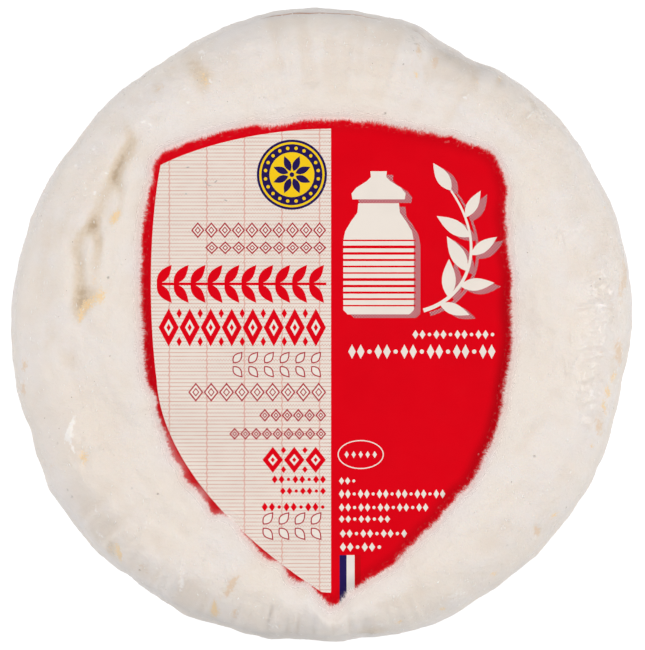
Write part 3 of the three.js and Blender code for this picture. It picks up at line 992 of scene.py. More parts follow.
@dataclass(frozen=True)
class PaperFinish:
    """Inks on a lightly toothed paper, and the straw-mat lines of the cream panel."""

    inks: tuple[tuple[Ink, Colour], ...] = (
        (Ink.RED, (0.725, 0.0, 0.007)),
        (Ink.PANEL, (0.83, 0.75, 0.68)),
        (Ink.CREAM, (0.85, 0.775, 0.705)),
        (Ink.LINE, (0.42, 0.012, 0.03)),
        (Ink.ROSE, (0.42, 0.07, 0.10)),
        (Ink.NAVY, (0.018, 0.009, 0.09)),
        (Ink.YELLOW, (0.93, 0.60, 0.012)),
        (Ink.WHITE, (0.84, 0.78, 0.73)),
        (Ink.CRIMSON, (0.58, 0.002, 0.006)),
        (Ink.BACK, (0.80, 0.76, 0.70)),
        (Ink.DUST, (0.42, 0.38, 0.36)),
    )
    mat_line: Colour = (0.63, 0.25, 0.19)
    stitch: Colour = (0.70, 0.34, 0.28)
    line_gap: float = 0.779
    stitch_first: float = -31.64
    stitch_gap: float = 7.77
    weave: float = 0.30
    dot_gap: float = 0.60
    shine: float = 0.02

    def make(self, effects: Effects) -> dict[Ink, Material]:
        """Builds one material for each ink."""
        return {ink: self._make_ink(effects, ink, colour) for ink, colour in self.inks}

    def _make_ink(self, effects: Effects, ink: Ink, colour: Colour) -> Material:
        """Builds the material of one ink.

        Args:
            effects: The shared effects.
            ink: The ink.
            colour: Its colour.

        Returns:
            The material.
        """
        f = Finish(f"print_{ink.value}")
        w, mm = f.wiring, f.mm
        tooth = effects.place(w, Effect.TOOTH, mm, fibre_size=0.14, cloud_size=4.0)
        worn = effects.place(w, Effect.MOTTLE, mm, size=9.0, low=0.35, high=0.75, shift=12.0)
        darker = tuple(c * 0.93 for c in colour)
        tone: object = w.blend(w.times(worn, 0.6), colour, darker)
        if ink is Ink.PANEL:
            tone = self._mat(w, mm, tone)
        else:
            # Painted shadow of the rind's lip darkens the ink near the rind's edge
            tone = w.blend(f.value("damp"), tone, tuple(c * 0.04 for c in colour))
        if ink is Ink.ROSE:
            tone = self._dots(w, mm, tone)
        f.set(Base_Color=tone, Roughness=w.ramp(tooth, 0.3, 0.7, 0.48, 0.62), Specular_IOR_Level=self.shine)
        f.bump(tooth, 0.03, 0.5)
        return f.material

    def _mat(self, w: Wiring, mm: Socket, tone: object) -> Socket:
        """Prints the fine lines and the wavy stitches of a straw mat over a tone.

        Args:
            w: The wiring.
            mm: Places in millimetres.
            tone: The tone.

        Returns:
            The colour.
        """
        x, y, _ = w.parted(mm)
        row = w.math("DIVIDE", y, self.line_gap)
        whole = w.math("FLOOR", row)
        patchy = w.noise(w.joined(w.times(x, 0.6), whole), 1.7, 2.0)
        chance = w.out("ShaderNodeTexWhiteNoise", {"W": whole}, noise_dimensions="1D")
        kind = w.times_plus(chance, 0.7, w.math("FRACT", w.times(whole, 0.5)))
        weave = w.minus(w.math("PINGPONG", w.math("DIVIDE", x, self.weave), 1.0), 0.5)
        zigzag = w.times(weave, w.times_plus(w.math("LESS_THAN", kind, 0.5), 0.42, 0.12))
        off = w.math("ABSOLUTE", w.plus(w.minus(w.math("FRACT", row), 0.5), zigzag))
        line = w.times(w.ramp(off, 0.06, 0.15, 1.0, 0.0), w.ramp(patchy, 0.25, 0.7, 0.65, 1.0))
        sway = w.times(w.math("SINE", w.times(y, 4.03)), 0.09)
        column = w.math("DIVIDE", w.plus(w.minus(x, self.stitch_first), sway), self.stitch_gap)
        beside = w.math("ABSOLUTE", w.minus(w.math("FRACT", w.plus(column, 0.5)), 0.5))
        stitch = w.ramp(beside, 0.008, 0.022, 0.85, 0.0)
        return w.blend(stitch, w.blend(w.times(line, 0.85), tone, self.mat_line), self.stitch)

    def _dots(self, w: Wiring, mm: Socket, tone: object) -> Socket:
        """Prints a tone as fine dots over the red.

        Args:
            w: The wiring.
            mm: Places in millimetres.
            tone: The tone.

        Returns:
            The colour.
        """
        place = w.scaled(mm, math.tau / self.dot_gap)
        x, y, _ = w.parted(place)
        waves = w.plus(w.math("SINE", w.plus(x, y)), w.math("SINE", w.minus(x, y)))
        return w.blend(w.ramp(waves, -0.4, 0.6, 0.0, 0.8), tone, (0.68, 0.36, 0.36))


@dataclass(frozen=True)
class MouldFinish:
    """Loose white mould: tufts, hairs, and the thin veil where the rind gives out over the paper."""

    white: Colour = (0.87, 0.82, 0.77)
    # These whites also serve the flakes, whose whiteness is a painted glint
    bright: Colour = (0.97, 0.95, 0.92)

    def make_hair(self, effects: Effects) -> Material:
        """Builds the material of the hairs and tufts.

        Args:
            effects: The shared effects.

        Returns:
            The material.
        """
        f = Finish("mould_hair")
        cloud = effects.place(f.wiring, Effect.MOTTLE, f.mm, size=2.0, low=0.3, high=0.7)
        tone = f.wiring.blend(cloud, self.bright, self.white)
        f.set(Base_Color=tone, Roughness=0.7, Specular_IOR_Level=0.4, Sheen_Weight=0.3)
        return f.material

    def make_pore_shade(self) -> Material:
        """Builds the material of the pores' mouths, darkened as painted shade.

        Returns:
            The material.
        """
        f = Finish("rind_pore")
        tone = f.wiring.blend(f.wiring.noise(f.mm, 4.0), (0.26, 0.20, 0.15), (0.52, 0.42, 0.33))
        f.set(Base_Color=tone, Roughness=0.9, Specular_IOR_Level=0.1)
        return f.material

    def make_veil(self, effects: Effects) -> Material:
        """Builds the veil's material, which thins out in streaks across the paper.

        Args:
            effects: The shared effects.

        Returns:
            The material.
        """
        f = Finish("mould_veil")
        w = f.wiring
        along, out, _ = w.parted(w.out("ShaderNodeUVMap", uv_map=Veil.UV))
        lean = w.minus(self._streak(w, along, 0.0, 1.7), 0.5)
        slanted = w.plus(along, w.times(w.times(lean, 2.4), out))
        fine = self._streak(w, slanted, w.times(out, 0.26), 0.17)
        clump = self._streak(w, slanted, w.times(out, 0.5), 0.75)
        reach = w.ramp(self._streak(w, along, 7.0, 6.0), 0.3, 0.7, 0.7, 1.35)
        cover = w.ramp(w.math("DIVIDE", out, reach), -0.5, 1.2, 1.0, 0.0)
        rough = w.plus(w.times(w.minus(fine, 0.5), 1.3), w.times(w.minus(clump, 0.5), 0.8))
        heavy = f.value("heavy")
        strands = w.ramp(w.plus(cover, rough), 0.1, 0.94)
        haze = w.plus(w.ramp(out, -0.5, 0.8, 0.2, 0.0), w.times(heavy, w.ramp(out, 0.3, 2.2, 1.0, 0.0)))
        alpha = w.times(w.math("MAXIMUM", strands, haze), w.ramp(out, -1.33, -0.8))
        cloud = effects.place(w, Effect.MOTTLE, f.mm, size=17.0, low=0.38, high=0.62)
        tone = w.blend(cloud, RindFinish.warm, RindFinish.cool)
        # Painted shade: the veil is a little darker from near the rind's edge in over the paper
        tone = w.blend(w.ramp(out, -0.9, -0.2, 0.0, 0.06), tone, (0.0, 0.0, 0.0))
        blush = w.times(w.ramp(out, -1.35, -0.3, 0.05, 0.155), w.times_plus(heavy, -1.6, 1.0))
        tone = w.blend(blush, tone, RindFinish.blush)
        f.set(Base_Color=tone, Alpha=alpha, Roughness=0.85, Specular_IOR_Level=0.2)
        nap = effects.place(w, Effect.FELT, f.mm, grain_size=0.32, lump_size=1.3, lump_share=0.62)
        f.bump(nap, 0.34, 0.9)
        return f.material

    @staticmethod
    def _streak(w: Wiring, along: object, across: object, size: float) -> Socket:
        """Soft noise over the veil's own two directions."""
        return w.noise(w.joined(along, across), size, 2.0, 0.6)


def floor_material() -> Material:
    """A light table: an opal floor that glows evenly.

    Returns:
        The material.
    """
    f = Finish("opal_floor")
    f.set(Base_Color=(0.1, 0.1, 0.1), Roughness=0.7, Specular_IOR_Level=0.1)
    f.set(Emission_Color=(1.0, 1.0, 1.0), Emission_Strength=1.0)
    return f.material


# Sub-assemblies


class Piece(enum.Enum):
    """The names of the pieces."""

    RIND = "rind_and_paste"
    LABEL = "paper_label"
    VEIL = "mould_veil"
    HAIRS = "mould_hairs"
    FLECKS = "mould_flecks"
    PORES = "rind_pores"


def hand_over(made: Object, replaced: str | None = None) -> Object:
    """Attaches a finished piece to the wheel's body, and hides the frame's part that it stands for.

    Args:
        made: The piece.
        replaced: The frame's node that it stands for, if any.

    Returns:
        The piece.
    """
    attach(made, BODY)
    if replaced:
        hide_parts(replaced)
    LOG.info("%s: %d faces", made.name, len(made.data.polygons))
    return made


@dataclass(frozen=True)
class Pleats:
    """Folds that run in from the rim: where they are, how wide and high, and where they fade in."""

    where: Swells
    size: float
    by: float
    shift: float
    fade_from: float
    full_from: float


@dataclass
class Rind:
    """The wheel itself: its rind from the lip over the paper, round the wall, to the base."""

    wheel: WheelShape
    paper: PaperShape
    relief: Relief
    sides: int = 700
    lip_rings: int = 14
    top_rings: int = 42
    rim_rings: int = 26
    wall_rings: int = 15
    foot_rings: int = 10
    floor_rings: int = 14
    lip_width: float = 1.8
    lip_softness: float = 2.0
    steeper: Swells = swells((340, 60, 0.9))
    puffs: Swells = swells((340, 60, -0.15))
    ripples: Pleats = Pleats(
        swells((84, 34, 1), (262, 36, 0.55), (18, 24, 0.35), (195, 24, 0.3)), 4.6, 1.0, 9.0, 43.0, 55.0
    )
    # Directions where the wall's painted shade is stronger
    greying: Swells = swells((252, 19, 0.6), (140, 30, 0.1), (104, 8, 0.4), (61, 13, 0.55))
    rumples: Pleats = Pleats(swells((264, 26, 1), (225, 12, 0.5)), 1.7, 0.7, -5.0, 56.0, 62.0)
    pleat_radius: float = 58.0
    crack: tuple[Point, ...] = ((-0.85, 0.35), (0.12, 0.55), (0.32, 0.75))
    seam_shares: tuple[float, ...] = (0.95, 0.7)
    most_wall_shade: float = 0.85
    feather: float = 0.03
    settles_by: float = 4.0
    puff_at: float = 2.0
    puff_wide: float = 2.4
    lip_power: float = 1.2
    draw_back: float = 0.55
    paper_room: float = 0.25
    base_grid: float = 1.6
    seed: int = 11

    def __post_init__(self) -> None:
        """Works out the outlines and draws the noise."""
        self.grain = Grain(self.seed)
        self.degrees = np.arange(self.sides) * 360.0 / self.sides
        self.edge = self.edge_radius(self.degrees)
        self.wall = self.wheel.wall_radius(self.degrees)
        self.shoulder = self.wall - self.wheel.flare(self.degrees) - self.wheel.bulge
        self.rim_start = np.maximum(self.shoulder - self.wheel.rim.inwards, self.edge + 2.4)

    def edge_at(self, degrees: Array) -> Array:
        """The edge's distance in any direction, read from the one that the rings start from."""
        return np.interp(degrees % 360.0, self.degrees, self.edge, period=360.0)

    def edge_radius(self, degrees: Array) -> Array:
        """Distance to the rind's own edge over the paper, with its small raggedness.

        Args:
            degrees: The directions, anticlockwise from +X.

        Returns:
            Millimetres, one for each direction.
        """
        way = np.radians(degrees)
        plain = self.paper.rind_edge(degrees)
        place = polar(plain, way, np.zeros_like(way))
        ragged = 0.25 * self.grain.at(place, 2.6) + 0.15 * self.grain.at(place + 50.0, 1.1)
        return np.minimum(plain + self.draw_back + ragged, self.paper.paper_radius(degrees) + 0.2)

    def label_height(self, x: Array, y: Array) -> Array:
        """Height of the paper's printed face."""
        return self.wheel.slow_height(x, y) - self.paper.sink

    def top_height(self, x: Array, y: Array, past: Array) -> Array:
        """Height of the rind's top face, which feathers out at its own edge over the paper.

        Args:
            x: Places along +X.
            y: Places along +Y.
            past: How far each lies outside the rind's edge.

        Returns:
            Millimetres, one for each place.
        """
        way = facing(x, y)
        full = self.relief.height(self.wheel, self.paper, x, y, past)
        puff = swelling(self.puffs, way) * bell((past - self.puff_at) / self.puff_wide)
        full = full + self.drape(x, y) * smooth(past / self.settles_by) + puff
        softness = self.lip_softness + swelling(self.steeper, way)
        share = 1.0 - np.exp(-((np.maximum(past, 0.0) / softness) ** self.lip_power))
        return mix(self.label_height(x, y) + self.feather, full, share)

    def drape(self, x: Array, y: Array) -> Array:
        """Soft lumps, and ripples that run inwards from the rim.

        Args:
            x: Places along +X.
            y: Places along +Y.

        Returns:
            Millimetres, one for each place.
        """
        radius, way = np.hypot(x, y), np.arctan2(y, x)
        near_rim = smooth(radius, 44.0, 62.0)
        lumps = self.grain.layers(np.column_stack([x, y, np.zeros_like(x)]), 12.0, 4, 0.55)
        inwards = self.grain.layers(polar(62.0, way, radius * 0.22), 5.5, 2, 0.5)
        soft = 0.3 * lumps + 1.3 * self.sweep(x, y)
        return soft + (0.10 + 0.22 * near_rim) * inwards * near_rim + self.ripple(x, y)

    def _pleat(self, pleats: Pleats, x: Array, y: Array) -> Array:
        """Height of some pleats at each place.

        Args:
            pleats: Their sizes.
            x: Places along +X.
            y: Places along +Y.

        Returns:
            Millimetres, one for each place.
        """
        way, radius = np.arctan2(y, x), np.hypot(x, y)
        place = polar(self.pleat_radius, way, radius * 0.12) + pleats.shift
        noise = self.grain.layers(place, pleats.size, 2, 0.5)
        folds = pleats.by * swelling(pleats.where, np.degrees(way)) * noise
        return folds * smooth(radius, pleats.fade_from, pleats.full_from)

    def ripple(self, x: Array, y: Array) -> Array:
        """Soft pleats that run in from the rim, and small ones round part of it."""
        return self._pleat(self.ripples, x, y) + self._pleat(self.rumples, x, y)

    def sweep(self, x: Array, y: Array) -> Array:
        """Long soft sweeps that bend round the wheel, about -0.3 to 0.3.

        Args:
            x: Places along +X.
            y: Places along +Y.

        Returns:
            A number for each place.
        """
        way = np.arctan2(y, x)
        bent = np.hypot(x, y) + 1.6 * self.grain.at(np.column_stack([x, y, np.full_like(x, 7.0)]), 15.0)
        broad, fine = polar(14.0, way, bent), polar(30.0, way, bent + 31.0)
        return 0.24 * self.grain.at(broad, 3.6) + 0.12 * self.grain.at(fine, 1.9)

    def _ring(self, radius: Array, height: Array | float) -> Array:
        """A ring of points at a radius and a height in each direction."""
        way = np.radians(self.degrees)
        return polar(radius, way, np.broadcast_to(height, way.shape))

    def _top_ring(self, radius: Array, drop: Array | float = 0.0) -> Array:
        """A ring of points on the rind's top face, or below it by a drop."""
        x, y, _ = self._ring(radius, 0.0).T
        return self._ring(radius, self.top_height(x, y, radius - self.edge) - drop)

    def _slot_rings(self) -> list[Array]:
        """The hollow that the paper lies in, which reaches in under the rind's lip.

        Returns:
            Rings of points, one after another.
        """
        end = self.paper.paper_radius(self.degrees) + 0.4
        rings = []
        for share in np.linspace(0.0, 1.0, self.floor_rings + 1)[1:]:
            x, y, _ = self._ring(end * share, 0.0).T
            rings.append(self._ring(end * share, self.label_height(x, y) - self.paper_room))
        for radius, above in (
            (end + 0.05, -0.1), (end, 0.03), (mix(self.edge, end, 0.4), 0.02), (self.edge, 0.02)
        ):
            x, y, _ = self._ring(radius, 0.0).T
            rings.append(self._ring(radius, self.label_height(x, y) + above))
        return rings

    def _top_rings(self) -> list[Array]:
        """The top face, from the lip's edge to where the rim begins to turn down.

        Returns:
            Rings of points, one after another.
        """
        shares = (np.arange(self.lip_rings) / self.lip_rings) ** 1.5
        lip = [self._top_ring(self.edge + self.lip_width * share) for share in shares]
        start = self.edge + self.lip_width
        rest = [self._top_ring(mix(start, self.rim_start, i / self.top_rings)) for i in range(self.top_rings)]
        return lip + rest

    def _side_rings(self) -> list[Array]:
        """The rim, the wall and the foot.

        Returns:
            Rings of points, one after another.
        """
        rings = []
        for i in range(self.rim_rings + 1):
            out, left = self.wheel.rim.turn(i / self.rim_rings)
            drop = self.wheel.rim.upright * (1.0 - left)
            rings.append(self._top_ring(mix(self.rim_start, self.shoulder, out), drop))
        top = rings[-1][:, 2]
        hem = swelling(self.wheel.crevice, self.degrees)
        for out, drop in self.crack:
            rings.append(self._ring(self.shoulder + out * hem, top - drop))
        top = top - self.crack[-1][1]
        foot = self.wheel.foot
        for i in range(self.wall_rings):
            z = mix(top, foot.upright, (i + 1) / (self.wall_rings + 1))
            out = smooth(-z, -self.wheel.flare_from, -self.wheel.flare_to)
            swell = 1.0 - (2.0 * (z - foot.upright) / (top - foot.upright) - 1.0) ** 2
            ripple = 0.5 * self.wheel.wave(self.degrees * 2.0, z / self.wheel.height)
            swell = swell * (self.wheel.bulge + ripple)
            rings.append(self._ring(mix(self.shoulder, self.wall - self.wheel.bulge, out) + swell, z))
        for i in range(self.foot_rings + 1):
            left, out = foot.turn(i / self.foot_rings)
            radius = self.wall - self.wheel.bulge - foot.inwards * (1.0 - out)
            rings.append(self._ring(radius, foot.upright * (1.0 - left)))
        return rings

    def _base(self, rim: Array) -> tuple[Array, Faces]:
        """The underside inside its outermost ring, as an even net of triangles.

        Args:
            rim: The outermost ring's points.

        Returns:
            The net's points, the ring's own first, and its faces, which look down.
        """
        reach = np.arange(-70.0, 70.0, self.base_grid)
        x, y = (a.ravel() for a in np.meshgrid(reach, reach))
        limit = np.interp(facing(x, y) % 360.0, self.degrees, np.hypot(*rim[:, :2].T), period=360.0)
        inner = np.column_stack([x, y])[np.hypot(x, y) < limit - 0.7 * self.base_grid]
        flat = np.concatenate([rim[:, :2], inner])
        loop = list(range(len(rim)))
        result = delaunay_2d_cdt([Vector(p) for p in flat], [], [loop], 1, 1e-6)
        assert len(result[0]) == len(flat)
        places = np.array([(*p, 0.0) for p in result[0]])
        return places, [tuple(reversed(f)) for f in result[2]]

    def skin(self) -> Skin:
        """The whole surface before its fine relief, with the values that colour it.

        Returns:
            The surface, closed.
        """
        slot, sides = self._slot_rings(), self.sides
        rings = slot + self._top_rings() + self._side_rings()
        zero = np.zeros(1)
        middle = np.column_stack([zero, zero, self.label_height(zero, zero) - self.paper_room])
        base, base_faces = self._base(rings[-1])
        points = np.concatenate([*rings, middle, base[sides:]])
        faces = ring_faces(len(rings), sides)
        hub = len(rings) * sides
        faces += [(hub, i, (i + 1) % sides) for i in range(sides)]
        foot_start = hub - sides
        faces += [tuple(foot_start + i if i < sides else hub + 1 + i - sides for i in f) for f in base_faces]
        return Skin(points, faces, self._values(points, len(slot) * sides, hub))

    def _values(self, points: Array, rind_from: int, hub: int) -> dict[str, Array]:
        """What the material and the fine relief read at each point.

        Args:
            points: The points.
            rind_from: The number of the first point of the rind's lip.
            hub: The number of the point in the middle of the hollow.

        Returns:
            Values by name.
        """
        x, y, z = points.T
        way, marks, number = facing(x, y), self.relief, np.arange(len(points))
        shown = number >= rind_from
        body = shown & (number < hub)
        top = smooth(z, 20.0, 30.0) * body
        past = np.hypot(x, y) - self.edge_at(way)
        hem, rumpled = swelling(self.wheel.crevice, way), swelling(self.rumples.where, way)
        # Hollows of the sweeps and pleats, for painted shade, and the dim ovals
        low = smooth(-self.sweep(x, y) - 0.7 * self.ripple(x, y), 0.0, 0.3) + felt(marks.dim, x, y)
        spots = {"amber": marks.amber, "straw": marks.straw, "ash": marks.ash, "chalk": marks.chalk}
        values = {key: felt(spot, x, y) * top for key, spot in spots.items()}
        values |= {"crease": marks.creases(x, y) * top, "low": np.minimum(low, 1.2) * top}
        values["lively"] = smooth(past, 0.2, 3.0) * smooth(z, 0.0, 3.0) * body
        values["crinkle"] = felt(marks.crinkled, x, y) * top * values["lively"]
        on_wall = smooth(-z + 3.5 * rumpled, -32.0, -24.0) * smooth(z, 0.0, 4.0)
        values["side"] = on_wall * (1.0 + 0.4 * rumpled) * body
        values["depth"] = np.where(z > 3.0, smooth(past, 1.5, 5.5), 0.0) * shown
        rind = shown * (z > 0.5)
        # Painted shade on the wall below the rim: fainter towards the foot, deeper near the crevice, in some
        # directions and in the rumples' hollows
        grey = np.minimum(0.2 + 0.3 * hem + swelling(self.greying, way), self.most_wall_shade)
        # The last place of painted wall shade reaches up over the rim
        lift = 5.0 * np.minimum(swelling(self.greying[-1:], way), 0.6)
        wall = smooth(lift - z, -32.5, -25.5) * rind * grey * (0.15 + 0.85 * smooth(z, 16.0, 30.0))
        hollow = smooth(-self._pleat(self.rumples, x, y), 0.05, 0.4) * smooth(z, 27.0, 33.0) * rind
        values["wall"] = np.minimum(wall + 0.3 * hollow, self.most_wall_shade)
        pale = 1.0 - 1.6 * swelling(self.paper.heavier, way)
        values["blush"] = 0.18 * np.exp(-np.maximum(past, 0.0) / 0.6) * top * pale
        start = hub - self.sides * (self.wall_rings + self.foot_rings + 4)
        values["seam"] = np.zeros(len(points))
        for ring, share in enumerate(self.seam_shares):
            here = slice(start + ring * self.sides, start + (ring + 1) * self.sides)
            values["seam"][here] = share * np.minimum(hem[here] * 1.2, 1.0)
        return values

    def build(self, finish: Material) -> Object:
        """Makes the piece, with its fine relief.

        Args:
            finish: Its material.

        Returns:
            The finished rind.
        """
        made = self.skin().make(Piece.RIND.value)
        FineRelief().apply(made, finish)
        return hand_over(made, "cheese")


class Growth:
    """A Geometry Nodes tree with named inputs, run once on a piece."""

    def __init__(self, name: str, sizes: object) -> None:
        """Makes the tree and its inputs.

        Args:
            name: The tree's name.
            sizes: What holds the inputs' values: each field that is a number is an input.
        """
        self.tree = bpy.data.node_groups.new(name, "GeometryNodeTree")
        face = self.tree.interface
        face.new_socket("Geometry", in_out="INPUT", socket_type="NodeSocketGeometry")
        face.new_socket("Geometry", in_out="OUTPUT", socket_type="NodeSocketGeometry")
        face.new_socket("Material", in_out="INPUT", socket_type="NodeSocketMaterial")
        fields = {k.capitalize().replace("_", " "): v for k, v in vars(sizes).items()}
        self.values = {k: v for k, v in fields.items() if isinstance(v, (int, float))}
        for key, value in self.values.items():
            kind = "NodeSocketInt" if isinstance(value, int) else "NodeSocketFloat"
            face.new_socket(key, in_out="INPUT", socket_type=kind)
        self.wiring = Wiring(self.tree)
        self.given = self.wiring.node("NodeGroupInput").outputs

    def attribute(self, name: str, kind: str = "FLOAT") -> Socket:
        """A value that the piece carries."""
        return self.wiring.out("GeometryNodeInputNamedAttribute", {"Name": name}, data_type=kind)

    def chance(self, low: object, high: object, seed: int) -> Socket:
        """A random number for each point, from the tree's own seed."""
        inputs = {2: low, 3: high, "Seed": self.wiring.plus(self.given["Seed"], float(seed))}
        return self.wiring.node("FunctionNodeRandomValue", inputs, data_type="FLOAT").outputs[1]

    def end(self, geometry: Socket) -> None:
        """Ends the tree in Realize Instances and Set Material.

        Args:
            geometry: What the tree has made.
        """
        real = self.wiring.out("GeometryNodeRealizeInstances", {0: geometry})
        inputs = {"Geometry": real, "Material": self.given["Material"]}
        self.wiring.node("NodeGroupOutput", {0: self.wiring.out("GeometryNodeSetMaterial", inputs)})

    def run(self, piece: Object, finish: Material) -> None:
        """Runs the tree on a piece and keeps the result as its plain mesh.

        Args:
            piece: The piece.
            finish: The material that the tree sets.
        """
        modifier = piece.modifiers.new(self.tree.name, "NODES")
        modifier.node_group = self.tree
        for item in self.tree.interface.items_tree:
            if item.in_out == "INPUT" and item.name in self.values:
                modifier[item.identifier] = self.values[item.name]
            elif item.name == "Material":
                modifier[item.identifier] = finish
        graph = bpy.context.evaluated_depsgraph_get()
        mesh = bpy.data.meshes.new_from_object(
            piece.evaluated_get(graph), preserve_all_data_layers=True, depsgraph=graph
        )
        piece.modifiers.clear()
        mesh.name = piece.name
        piece.data = mesh


@dataclass(frozen=True)
class FineRelief:
    """The rind's fine lumps, crinkles and side wrinkles, raised along its normals."""

    lump_size: float = 3.4
    lump_height: float = 0.10
    grain_size: float = 1.25
    grain_height: float = 0.045
    crinkle_size: float = 2.3
    crinkle_height: float = 0.55
    wrinkle_size: float = 5.0
    wrinkle_height: float = 0.5

    def apply(self, piece: Object, finish: Material) -> None:
        """Raises the relief on a piece.

        Args:
            piece: The piece.
            finish: Its material.
        """
        growth = Growth("rind_relief", self)
        w, given = growth.wiring, growth.given
        mm = w.scaled(w.out("GeometryNodeInputPosition"), 1.0 / MM)
        lump = self._lumps(w, mm, given["Lump size"], given["Lump height"], 2.0)
        grain = self._lumps(w, mm, given["Grain size"], given["Grain height"], 1.0)
        fine = w.times(w.plus(lump, grain), growth.attribute("lively"))
        crinkle = self._crinkles(w, mm, given["Crinkle size"])
        crinkle = w.times(crinkle, given["Crinkle height"], growth.attribute("crinkle"))
        tall = w.vector("MULTIPLY", mm, (1.0, 1.0, 0.35))
        wrinkle = self._lumps(w, tall, given["Wrinkle size"], given["Wrinkle height"], 3.0)
        wrinkle = w.times(wrinkle, growth.attribute("side"))
        total = w.times(w.plus(w.plus(fine, crinkle), wrinkle), MM)
        offset = w.scaled(w.out("GeometryNodeInputNormal"), total)
        growth.end(w.out("GeometryNodeSetPosition", {"Geometry": given["Geometry"], "Offset": offset}))
        growth.run(piece, finish)
        piece.data.shade_smooth()

    @staticmethod
    def _lumps(w: Wiring, mm: Socket, size: object, height: object, detail: float) -> Socket:
        """Noise about 0 of a size and a height."""
        noise = w.noise(w.scaled(mm, w.math("DIVIDE", 1.0, size)), 1.0, detail)
        return w.times(w.minus(noise, 0.5), w.times(height, 2.0))

    @staticmethod
    def _crinkles(w: Wiring, mm: Socket, size: object) -> Socket:
        """Sharp little ridges where noise crosses its middle.

        Args:
            w: The wiring.
            mm: Places in millimetres.
            size: The noise's size.

        Returns:
            The height, 0 to 1.
        """
        noise = w.noise(w.scaled(mm, w.math("DIVIDE", 1.0, size)), 1.0, 2.0, 0.55)
        fold = w.math("ABSOLUTE", w.minus(noise, 0.5))
        return w.ramp(fold, 0.0, 0.09, 1.0, 0.0)


# The label


def disc(x: float, y: float, radius: float, tall: float | None = None, steps: int = 36) -> Array:
    """A round or oval outline."""
    t = np.arange(steps) * math.tau / steps
    return np.column_stack([x + radius * np.cos(t), y + (tall or radius) * np.sin(t)])


def lozenge(x: float, y: float, wide: float, tall: float) -> Array:
    """A lozenge, wide and tall from tip to tip."""
    return np.array([(x + wide / 2, y), (x, y + tall / 2), (x - wide / 2, y), (x, y - tall / 2)])


def bar(left: float, bottom: float, right: float, top: float) -> Array:
    """An upright rectangle."""
    return np.array([(left, bottom), (right, bottom), (right, top), (left, top)])


def leaf(x: float, y: float, long: float, wide: float, degrees: float, steps: int = 9) -> Array:
    """A leaf with two pointed ends.

    Args:
        x: Where its stalk end is, along +X.
        y: Where its stalk end is, along +Y.
        long: Its length.
        wide: Its width.
        degrees: The way it points.
        steps: How many points along each side.

    Returns:
        Its outline.
    """
    t = np.linspace(0.0, 1.0, steps)
    bulge = np.sin(np.pi * t**0.85) * wide / 2.0
    along = np.concatenate([t, t[-2:0:-1]]) * long
    across = np.concatenate([-bulge, bulge[-2:0:-1]])
    c, s = math.cos(math.radians(degrees)), math.sin(math.radians(degrees))
    return np.column_stack([x + along * c - across * s, y + along * s + across * c])


def divided(outline: Array, step: float = 1.6) -> Array:
    """An outline whose long sides are divided, so that it can follow a curved sheet.

    Args:
        outline: The outline.
        step: The longest side left.

    Returns:
        The outline, with more points.
    """
    pieces = []
    for start, end in zip(outline, np.roll(outline, -1, axis=0)):
        count = max(1, math.ceil(float(np.hypot(*(end - start))) / step))
        pieces.append(start + (end - start) * (np.arange(count) / count)[:, None])
    return np.concatenate(pieces)


def inset(outline: Array, by: float) -> Array:
    """An outline moved inwards, for outlined shapes with no deep hollows.

    Args:
        outline: The outline, anticlockwise.
        by: How far.

    Returns:
        The smaller outline.
    """
    before, after = np.roll(outline, 1, axis=0), np.roll(outline, -1, axis=0)
    first, second = unit(outline - before), unit(after - outline)
    left = -rightwards(first + second)
    return outline + by * left / np.maximum(np.einsum("ij,ij->i", left, -rightwards(first))[:, None], 0.25)


class Motif(enum.Enum):
    """The generic ornaments that fill the printed rows."""

    LINKS = "outlined lozenges, tip to tip"
    GARLAND = "bold leaves in pairs along a stem"
    DIAPER = "bold lozenges with small ones between"
    BEADS = "dots and small lozenges"
    SPRAY = "outlined leaves in pairs"


